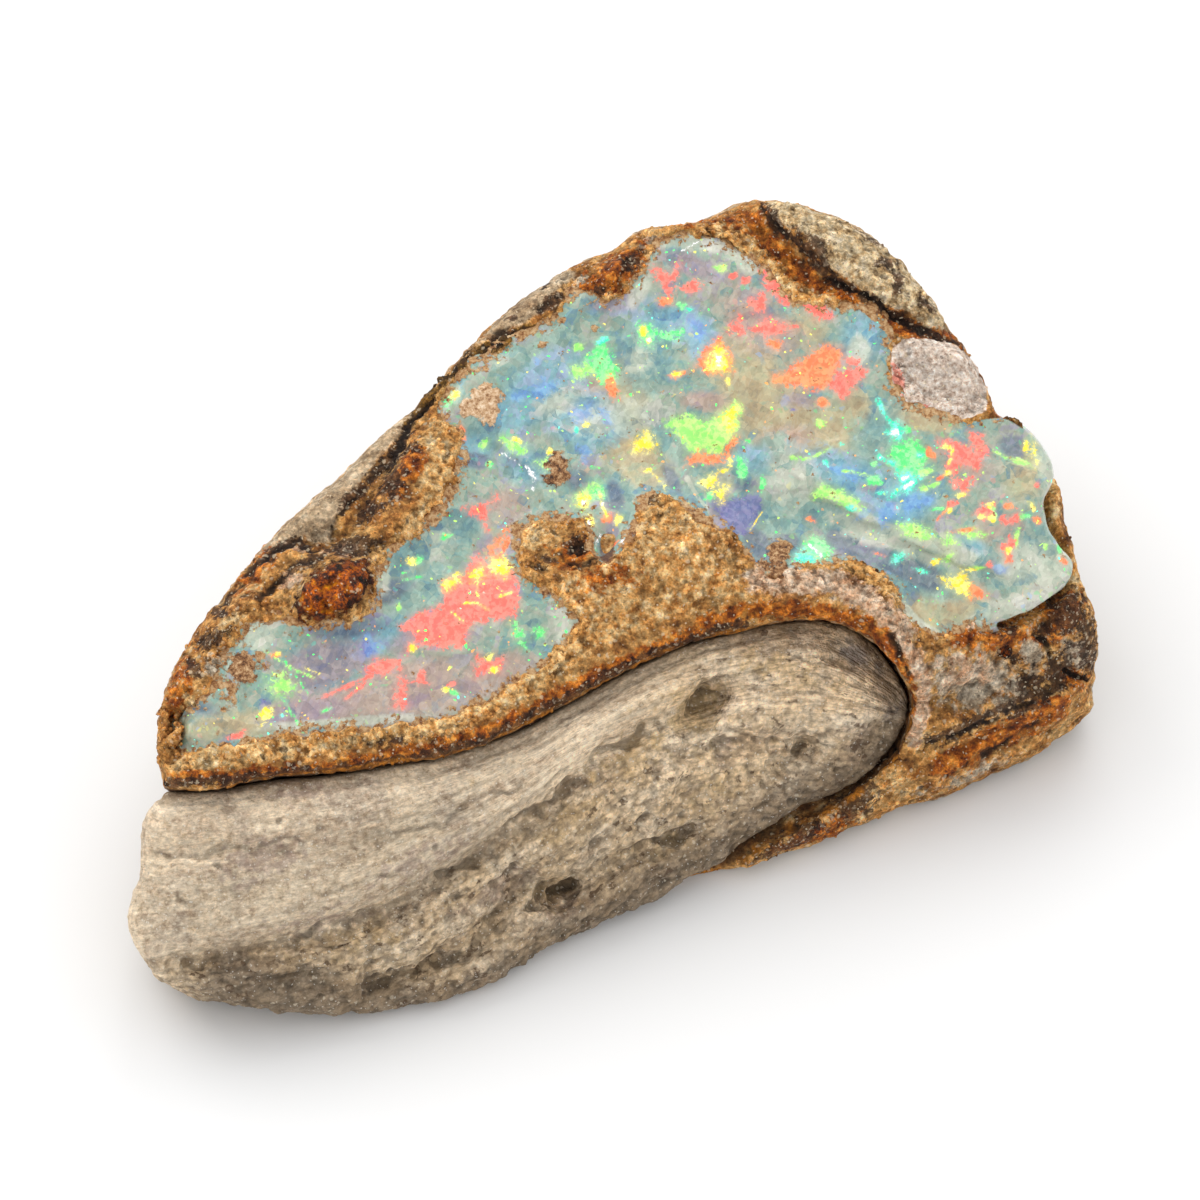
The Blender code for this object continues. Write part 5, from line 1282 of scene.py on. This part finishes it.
         (4.6, 13.6, 0.3, 0.14, 10), (-8.7, 12.3, 0.28, 0.2, 0), (-8.4, 9.9, 0.22, 0.25, 0),
         (25.9, 5.6, 0.14, 0.25, 30), (-0.8, 10.5, 0.2, 0.16, 0), (2.6, 16.2, 0.25, 0.3, 0), (2.9, 15.6, 0.15, 0.2, 0),
         (-5.0, 9.6, 0.3, 0.16, -30), (-3.0, 8.9, 0.2, 0.16, 0), (2.9, 7.8, 0.2, 0.14, 0), (-9.2, -5.3, 0.2, 0.16, 0),
         (7.8, 8.2, 0.2, 0.3, 0, 0.9), (21.0, 5.4, 0.16, 0.14, 0), (25.6, 9.2, 0.2, 0.4, 0, 0.8),
         (26.1, 8.8, 0.3, 0.9, 5, 0.6), (7.7, 13.1, 0.14, 0.25, 0), (7.4, 7.8, 0.4, 0.15, 10, 0.9),
         (-19.2, -3.2, 0.2, 0.12, 0)],
        [(0.09, [(-8.1, -0.2), (-7.4, -0.2), (-6.7, -0.6)]), (0.09, [(-6.0, 0.2), (-5.3, 0.4)]),
         (0.10, [(21.2, 9.1), (21.1, 8.6), (20.9, 8.2)]), (0.12, [(0.0, 6.4), (0.15, 5.6), (0.4, 5.0)]),
         (0.07, [(-8.9, -0.7), (-8.2, -1.3)]), (0.08, [(3.2, 7.6), (4.0, 6.6)]), (0.05, [(9.0, 4.2), (9.8, 5.4)]),
         (0.06, [(-7.3, 1.0), (-7.4, 0.2)]), (0.06, [(-17.6, -4.0), (-16.6, -4.4)])],
    ),
    # The white spots and streaks are painted glints: highlights on the ridges and facets of the face.
    "white": (
        [],
        [(17.75, 10.05, 0.22, 0.16, 0), (18.3, 7.35, 0.2, 0.1, 30), (18.65, 7.0, 0.28, 0.1, 35),
         (18.35, 6.8, 0.12, 0.12, 0), (-1.0, 5.8, 0.16, 0.14, 0), (-0.65, 4.6, 0.1, 0.16, 0),
         (1.4, 3.55, 0.24, 0.16, 30), (-4.0, 6.8, 0.1, 0.1, 0), (2.9, 15.65, 0.1, 0.14, 0), (0.15, 5.7, 0.1, 0.1, 0),
         (16.85, 8.6, 0.1, 0.08, 0), (19.2, 8.7, 0.12, 0.07, 0), (7.1, 14.4, 0.2, 0.3, 10, 0.8)],
        [(0.08, [(-5.8, 8.9), (-4.8, 8.1)]), (0.13, [(-4.4, 8.0), (-3.9, 7.3)]), (0.12, [(12.6, 3.35), (13.3, 2.65)]),
         (0.06, [(0.0, 4.1), (-0.3, 3.2)]), (0.05, [(4.9, 21.0), (6.2, 21.7)]), (0.05, [(18.6, -1.2), (19.2, -1.8)])],
    ),
}
CRUSTS = [[(-8.4, 11.5), (-7.6, 12.5), (-6.6, 12.9), (-5.9, 12.2), (-6.1, 11.0), (-6.4, 10.3), (-7.4, 10.8),
           (-8.2, 11.0)], [(-22.2, -4.2), (-21.4, -2.9), (-20.7, -3.8), (-20.6, -4.8), (-21.4, -5.1)],
          [(-3.1, 8.2), (-2.5, 8.9), (-1.9, 8.3), (-2.0, 7.2), (-2.6, 6.8), (-3.3, 7.2)],
          [(9.9, 2.4), (10.2, 3.4), (11.0, 3.7), (11.5, 3.2), (11.3, 2.3), (10.6, 1.9)]]
CRUST_SPOTS = [(-22.1, -5.4, 0.8, 0.9, 0, 0.85), (-21.0, -3.8, 1.0, 1.0, 0, 0.85), (-19.2, -0.5, 0.5, 0.35, 0),
               (-0.35, 16.35, 0.22, 0.2, 0), (-3.5, 15.25, 0.35, 0.14, 20), (-7.2, 13.8, 0.4, 0.2, 10, 0.9),
               (-2.3, 16.8, 0.25, 0.15, 20), (-0.4, 5.5, 0.2, 0.12, 20), (22.2, -1.2, 0.5, 0.2, 10, 0.9)]
OPAL_STEPS = [  # drop on the right-hand side, width of the slope, route
    (0.32, 0.30, [(-9.0, 11.0), (-6.2, 9.4), (-4.4, 7.9), (-3.6, 6.4), (-3.0, 4.6)]),
    (0.12, 0.20, [(1.2, 17.4), (2.0, 12.4), (3.6, 9.4), (6.8, 5.2)]),
    (0.14, 0.20, [(2.2, 15.6), (3.4, 11.6), (6.0, 8.0), (8.4, 5.0)]),
    (0.32, 0.22, [(12.8, 6.6), (15.2, 4.9), (18.4, 3.4), (22.4, 1.9), (25.4, 0.8)]),
    (0.20, 0.22, [(8.4, 8.8), (11.4, 8.4), (14.0, 9.4)]),
    (0.18, 0.20, [(14.4, 7.9), (17.6, 6.2), (20.0, 7.4), (22.0, 6.4)]),
    (0.16, 0.20, [(-13.4, -3.0), (-9.0, -3.4), (-4.6, -2.6), (-2.6, -0.8)]),
    (0.16, 0.18, [(9.0, 4.0), (9.9, 5.6), (11.0, 6.4), (12.8, 6.6)]),
    (0.14, 0.18, [(18.4, 0.6), (20.4, -0.6), (22.6, -0.6)]),
]

def shards(place, spots, streaks, seed):
    """Like patches, but each spot is an angular shard and each streak a row of weak ones."""
    generator = np.random.default_rng(seed)
    field = patches(place, routes=streaks) * 0.68
    for spot in spots:
        turn = math.radians(spot[4])
        along = ((place[:, 0] - spot[0]) * math.cos(turn) + (place[:, 1] - spot[1]) * math.sin(turn)) / spot[2]
        across = ((place[:, 1] - spot[1]) * math.cos(turn) - (place[:, 0] - spot[0]) * math.sin(turn)) / spot[3]
        sides = 2 * np.pi * (np.arange(5) + generator.uniform(-0.3, 0.3, 5)) / 5
        reach = generator.uniform(0.7, 1.1, 5)
        norm = np.maximum.reduce([(along * math.cos(a) + across * math.sin(a)) / r for a, r in zip(sides, reach)])
        field = np.maximum(field, (spot[5] if len(spot) > 5 else 1.0) * (1 - 0.5 * np.maximum(norm, 0)))
    return field


seam = worked_copy("opal", opal_slab, voxel=0.172)
relax(seam, 4)
points, normals = points_of(seam), normals_of(seam)
place = sight_places(points)
facing = normals @ SIGHT[2]
rim = outside(place, OPAL_RIM)
free = unborne(place)
flush = on_skin(place, facing) * soft_step((rim + 1.0) / 0.5) * (1 - free)
place[:, 2] += flush * (apron(face_at(place), rim) - place[:, 2])
points = off_sight(place)
bent = points + 0.7 * np.stack([lumps(points, 3.0, 81), lumps(points, 3.0, 82), lumps(points, 3.0, 83)], axis=1)
_, facet = nearest_seed(bent, 4.6, 84)
_, chip = nearest_seed(bent, 1.9, 85)
_, flake = nearest_seed(bent, 0.8, 91)
relief = 0.10 * (facet - 0.5) + 0.06 * (chip - 0.5) + 0.02 * (flake - 0.5) + 0.09 * lumps(points, 2.6,
                                                                                          86) + 0.035 * lumps(points,
                                                                                                              0.9, 87)
wander = wandering(points, 0.3, 1.4, 88, 1)
for drop, width, route in OPAL_STEPS:
    away, side = from_route(place + wander, route)
    ends = np.minimum(np.hypot(*(place[:, :2] - route[0]).T), np.hypot(*(place[:, :2] - route[-1]).T))
    relief -= drop * soft_step(0.5 - side * away / width) * np.exp(-((away / 2.0) ** 2)) * soft_step(ends / 1.6)
relief -= dome(place, (0.3, 3.3, 1.3, 0.7, 75), 0.6)
crust = np.maximum(patches(place, CRUST_SPOTS), np.maximum.reduce([outline_field(place, outline,
                                                                                 0.9) for outline in CRUSTS]))
relief += soft_step((crust - 0.35) / 0.3) * (0.14 + 0.10 * rough_relief(points, 0.5, 90, 2))
top = soft_step((facing - 0.2) / 0.5)
relief = relief * top * (1 - 0.5 * soft_step((rim + 0.8) / 0.6)) + 0.06 * rough_relief(points, 0.7, 92, 2) * (1 - top)
points = points + normals * relief[:, None]
points += 0.5 * (neighbour_mean(seam, points) - points)
place_points(seam, points)

for name, (spots, routes) in BODY_ZONES.items():
    store(seam, name, patches(place, spots, routes))
for seed, (name, (tiles, dots, streaks)) in enumerate(FLASHES_AND_GLINTS.items()):
    angular = [np.minimum(outline_field(place, tile, 1.1, 1), 1.2) for tile in tiles]
    store(seam, name, np.maximum.reduce([shards(place, dots, streaks, 300 + seed)] + angular))
store(seam, "crust", crust)
store(seam, "brown_crust", patches(place, [(-2.6, 7.4, 1.0, 1.0, 0), (10.7, 2.4, 1.2, 0.8, 0),
                                           (-21.5, -4.0, 1.2, 1.0, 0, 0.7)]))
store(seam, "pale_crust", patches(place, [(-7.2, 11.6, 1.2, 1.1, 0)]))
store(seam, "rim", np.where(free > 0.3, 3.0, -rim))
store(seam, "notch", patches(place, [(0.4, 3.2, 0.9, 0.45, 75), (-1.6, 3.9, 0.9, 0.4, 30, 0.9)]))
across = np.stack([0.35 * (place[:, 0] * 0.5 + place[:, 1] * 0.87), place[:, 0] * 0.87 - place[:, 1] * 0.5,
                   0.3 * place[:, 2]], axis=1)
store(seam, "strokes", across)

# One colour's domains, and in the same way the painted white glints: the field says where they lie, and small mosaic
# tiles turn on or off at its rim. The haze is the light that they scatter into the milk around them, painted as a halo
# of colour.
mosaic, given, out = new_group(
    "colour_domains",
    [("Field", "NodeSocketFloat", 0.0), ("Tile", "NodeSocketFloat", 0.3), ("Spread", "NodeSocketFloat", 0.25),
     ("Softness", "NodeSocketFloat", 0.05)],
    [("Mask", "NodeSocketFloat"), ("Haze", "NodeSocketFloat")],
)
place_mm = in_mm(mosaic)
wave = add(mosaic, "ShaderNodeTexNoise", {"Vector": place_mm, "Scale": 1.8, "Detail": 4.0,
                                          "Roughness": 0.6}).outputs["Color"]
place_mm = bent_by(place_mm, wave, 0.4)
size = maths("DIVIDE", 1.0, given["Tile"])
big = add(mosaic, "ShaderNodeTexVoronoi", {"Vector": place_mm, "Scale": size}).outputs["Color"]
small = add(mosaic, "ShaderNodeTexVoronoi", {"Vector": place_mm, "Scale": times(size, 2.2)}).outputs["Color"]
lot = plus(lots_of(big)[0], times(lots_of(small)[1], 0.7))
field = times_plus(minus(lot, 0.85), given["Spread"], given["Field"])
low, high = minus(0.5, given["Softness"]), plus(0.5, given["Softness"])
mosaic.links.new(between(field, low, high), out["Mask"])
mosaic.links.new(between(times_plus(minus(lot, 0.85), 0.12, given["Field"]), 0.02, 0.7), out["Haze"])

opal, tree, shader = new_material("precious_opal")
mm = in_mm(tree)
wave = bent_by(mm, noise(mm, 1.4, 3.0, kind="Color"), 0.6)
haze = noise(mm, 1.8, 5.0, 0.6, 0.4)
veil = noise(mm, 0.5, 5.0, 0.65)
strokes = noise(stored(tree, "strokes", "Vector"), 0.28, 4.0, 0.65, 0.6)
lots = [lots_of(cells(wave, size)["Color"]) for size in (1.5, 0.62, 0.26)]
body_lot = plus(times(lots[0][0], 0.34), times(lots[1][0], 0.30))
body_lot = plus(body_lot, times(lots[2][0], 0.14))
body_lot = plus(body_lot, times_plus(haze, 0.9, -0.21))
colour = chart(body_lot, [(0.22, (98, 128, 156)), (0.36, (104, 142, 148)), (0.50, (124, 156, 144)),
                          (0.64, (144, 162, 144)), (0.78, (160, 164, 148)), (0.92, (150, 148, 158))])
palette = {  # zone: share, chart
    "olive": (0.85, [(0.25, (156, 142, 100)), (0.45, (174, 148, 108)), (0.65, (182, 166, 128)),
                     (0.90, (164, 170, 132))]),
    "rose": (0.80, [(0.25, (152, 122, 128)), (0.50, (172, 140, 130)), (0.70, (178, 150, 136)),
                    (0.90, (158, 150, 146))]),
    "teal": (0.85, [(0.25, (80, 118, 134)), (0.45, (102, 142, 144)), (0.65, (124, 158, 150)), (0.90, (148, 174, 156))]),
    "blue": (0.85, [(0.25, (80, 118, 162)), (0.45, (98, 150, 174)), (0.65, (120, 170, 180)), (0.90, (138, 162, 190))]),
    "mauve": (0.80, [(0.25, (112, 104, 136)), (0.50, (138, 122, 138)), (0.75, (154, 136, 142)),
                     (0.95, (146, 140, 166))]),
    "slate": (0.80, [(0.25, (60, 76, 104)), (0.50, (78, 90, 118)), (0.75, (94, 108, 122)), (0.95, (108, 112, 136))]),
    "milk": (0.80, [(0.25, (168, 182, 162)), (0.60, (188, 194, 174)), (0.90, (202, 202, 186))]),
}
for name, (share, stops) in palette.items():
    field = times_plus(minus(body_lot, 0.5), 0.45, stored(tree, name))
    colour = mixed(between(field, 0.26, 0.66, 0, share), colour, chart(body_lot, stops))
colour = mixed(between(strokes, 0.52, 0.70, 0, 0.16), colour, (196, 204, 190))
colour = mixed(between(strokes, 0.48, 0.34, 0, 0.16), colour, (76, 98, 112))
cell_shade = times(evenly(lots[1][1], 0.0, 1.0, 0.86, 1.12), evenly(lots[2][1], 0.0, 1.0, 0.90, 1.10))
colour = shaded(colour, cell_shade)

# Stray domains that belong to no larger flash, from a wheel of opal's colours.
stray_chart = chart(lots[2][1], [(0.0, (84, 226, 130)), (0.2, (160, 236, 110)), (0.36, (236, 226, 110)),
                                 (0.48, (84, 216, 190)), (0.64, (104, 164, 226)),
                                       (0.78, (240, 160, 110)), (0.90, (236, 124, 124))], True)
stray = times(between(lots[2][2], 0.84, 0.90), between(haze, 0.50, 0.66))
colour = mixed(times(stray, 0.34), colour, stray_chart)
glow = times(stray, 0.15)

paints = {  # colour: deep, lit, tile, share, haze
    "indigo": ((78, 78, 142), (112, 106, 160), 0.40, 0.75, 0.20),
    "royal": ((84, 126, 200), (116, 164, 216), 0.40, 0.45, 0.22),
    "lime": ((140, 232, 100), (196, 244, 128), 0.30, 0.86, 0.34),
    "green": ((64, 222, 110), (146, 244, 150), 0.28, 0.88, 0.30),
    "turquoise": ((30, 224, 170), (120, 246, 214), 0.26, 0.92, 0.36),
    "orange": ((248, 112, 62), (250, 148, 92), 0.34, 0.90, 0.36),
    "coral": ((250, 98, 84), (248, 128, 112), 0.34, 0.92, 0.32),
    "yellow": ((252, 214, 50), (255, 242, 128), 0.22, 1.0, 0.34),
    # White is painted highlight: the glints, laid like a flash.
    "white": ((250, 250, 250), (255, 255, 255), 0.2, 1.0, 0.2),
}
for name, (deep, lit, tile_size, share, halo) in paints.items():
    masks = use(tree, mosaic, {"Field": stored(tree, name), "Tile": tile_size, "Spread": 0.34, "Softness": 0.13})
    # For white, the flash is a painted glint.
    facet = times_plus(minus(lots[2][1], 0.5), 0.22, veil)
    flash = mixed(between(facet, 0.40, 0.60), deep, lit)
    mask = times(masks["Mask"], times(between(strokes, 0.3, 0.5, 0.82, 1.0), share))
    colour = mixed(times(masks["Haze"], halo), colour, lit)
    colour = mixed(mask, colour, flash)
    glow = most(glow, most(mask, times(masks["Haze"], 0.5 * halo)))

# Bright pin-point sparks, thickest where the milk is thin.
spark_lot = lots_of(cells(wave, 0.13)["Color"])
spark = times(between(spark_lot[0], 0.974, 0.980), between(noise(mm, 0.9, 3.0), 0.5, 0.58))
spark_chart = chart(spark_lot[1], [(0.0, (90, 250, 120)), (0.3, (200, 255, 110)), (0.52, (255, 240, 110)),
                                   (0.7, (110, 250, 220)), (0.84, (255, 170, 90))], True)
colour = mixed(times(spark, 0.9), colour, spark_chart)
glow = most(glow, spark)

# Sand and crust that still cling to its rim and to the pockets in its face.
crust_noise = noise(mm, 0.34, 6.0, 0.75)
crust_paint = chart(crust_noise, [(0.34, (84, 46, 20)), (0.43, (136, 90, 48)), (0.52, (178, 138, 92)),
                                  (0.66, (206, 178, 138))])
brown_paint = chart(crust_noise, [(0.36, (40, 22, 10)), (0.45, (104, 64, 32)), (0.52, (150, 106, 64)),
                                  (0.64, (206, 172, 130))])
pale_paint = chart(crust_noise, [(0.36, (120, 80, 48)), (0.45, (184, 144, 104)), (0.54, (214, 182, 146)),
                                 (0.66, (236, 216, 190))])
crust_paint = mixed(between(stored(tree, "brown_crust"), 0.2, 0.5), crust_paint, brown_paint)
crust_paint = mixed(between(stored(tree, "pale_crust"), 0.2, 0.5), crust_paint, pale_paint)
edge_field = between(stored(tree, "rim"), -0.4, 1.0, 0.85, 0.0)
edge_mask = ragged_mask(edge_field, 0.5, 0.75, 0.08)
pocket_mask = ragged_mask(stored(tree, "crust"), 0.6, 0.6, 0.08)
crust_mask = most(edge_mask, pocket_mask)
colour = mixed(crust_mask, colour, crust_paint)
notch_mask = ragged_mask(stored(tree, "notch"), 0.5, 0.3, 0.15)
colour = mixed(times(notch_mask, 0.85), colour, (74, 50, 46))
glow = times(glow, minus(1.0, most(crust_mask, notch_mask)))
# The emission is a painted glow over the flashes, the glints, their haze, the stray domains and the sparks.
feed(shader, {"Emission Color": mixed(glow, (0.0, 0.0, 0.0, 1.0), colour), "Emission Strength": 0.24,
              "IOR": 1.45, "Coat Roughness": 0.06})
rough = plus(between(veil, 0.3, 0.7, 0.10, 0.26), times(crust_mask, 0.5))
tree.links.new(times(minus(1.0, crust_mask), 0.2), shader.inputs["Coat Weight"])
height = plus(times(veil, 0.35), times(lots[1][1], 0.2))
height = plus(height, times(strokes, 0.3))
height = plus(height, times(crust_mask, plus(0.8, times(crust_noise, 1.5))))
finish_surface(shader, colour, rough, height, 0.5, 0.00014)
finish_piece("precious_opal_seam", seam, "opal", opal)

# ---- The table and the light ----
# A pale sweep of card under the stone, in a light tent: most of the light comes evenly from the white room all round,
# and three soft panels behind the stone lift its upper faces and lay its shadow towards the front.
half = 2.0
floor_mesh = bpy.data.meshes.new("floor")
floor_mesh.from_pydata([(-half, -half, 0), (half, -half, 0), (half, half, 0), (-half, half, 0)], [], [(0, 1, 2, 3)])
floor = into_scene("floor", floor_mesh)
card, _, shader = new_material("pale_card")
feed(shader, {"Base Color": (0.78, 0.78, 0.78, 1), "Roughness": 0.9, "Specular IOR Level": 0.1})
floor_mesh.materials.append(card)


def panel(name, azimuth, elevation, away, width, watts):
    """A soft box aimed at the stone. Azimuth 0 is in front of it, 90 to its right."""
    light = into_scene(name, bpy.data.lights.new(name, "AREA"))
    light.data.shape = "DISK"
    light.data.size = width
    light.data.energy = watts
    a, e = math.radians(azimuth), math.radians(elevation)
    towards = Vector((math.sin(a) * math.cos(e), -math.cos(a) * math.cos(e), math.sin(e)))
    light.location = Vector((0, 0, 0.012)) + towards * away
    light.rotation_euler = towards.to_track_quat("Z", "Y").to_euler()


panel("left_back_panel", -145, 45, 0.5, 0.35, 0.74)
panel("right_back_panel", 140, 45, 0.5, 0.35, 0.36)
panel("back_panel", 168, 44, 0.5, 0.45, 0.22)
room = bpy.data.worlds.new("white_room")
bpy.context.scene.world = room
room.use_nodes = True
feed(room.node_tree.nodes["Background"], {"Color": (1, 1, 1, 1), "Strength": 1.13})
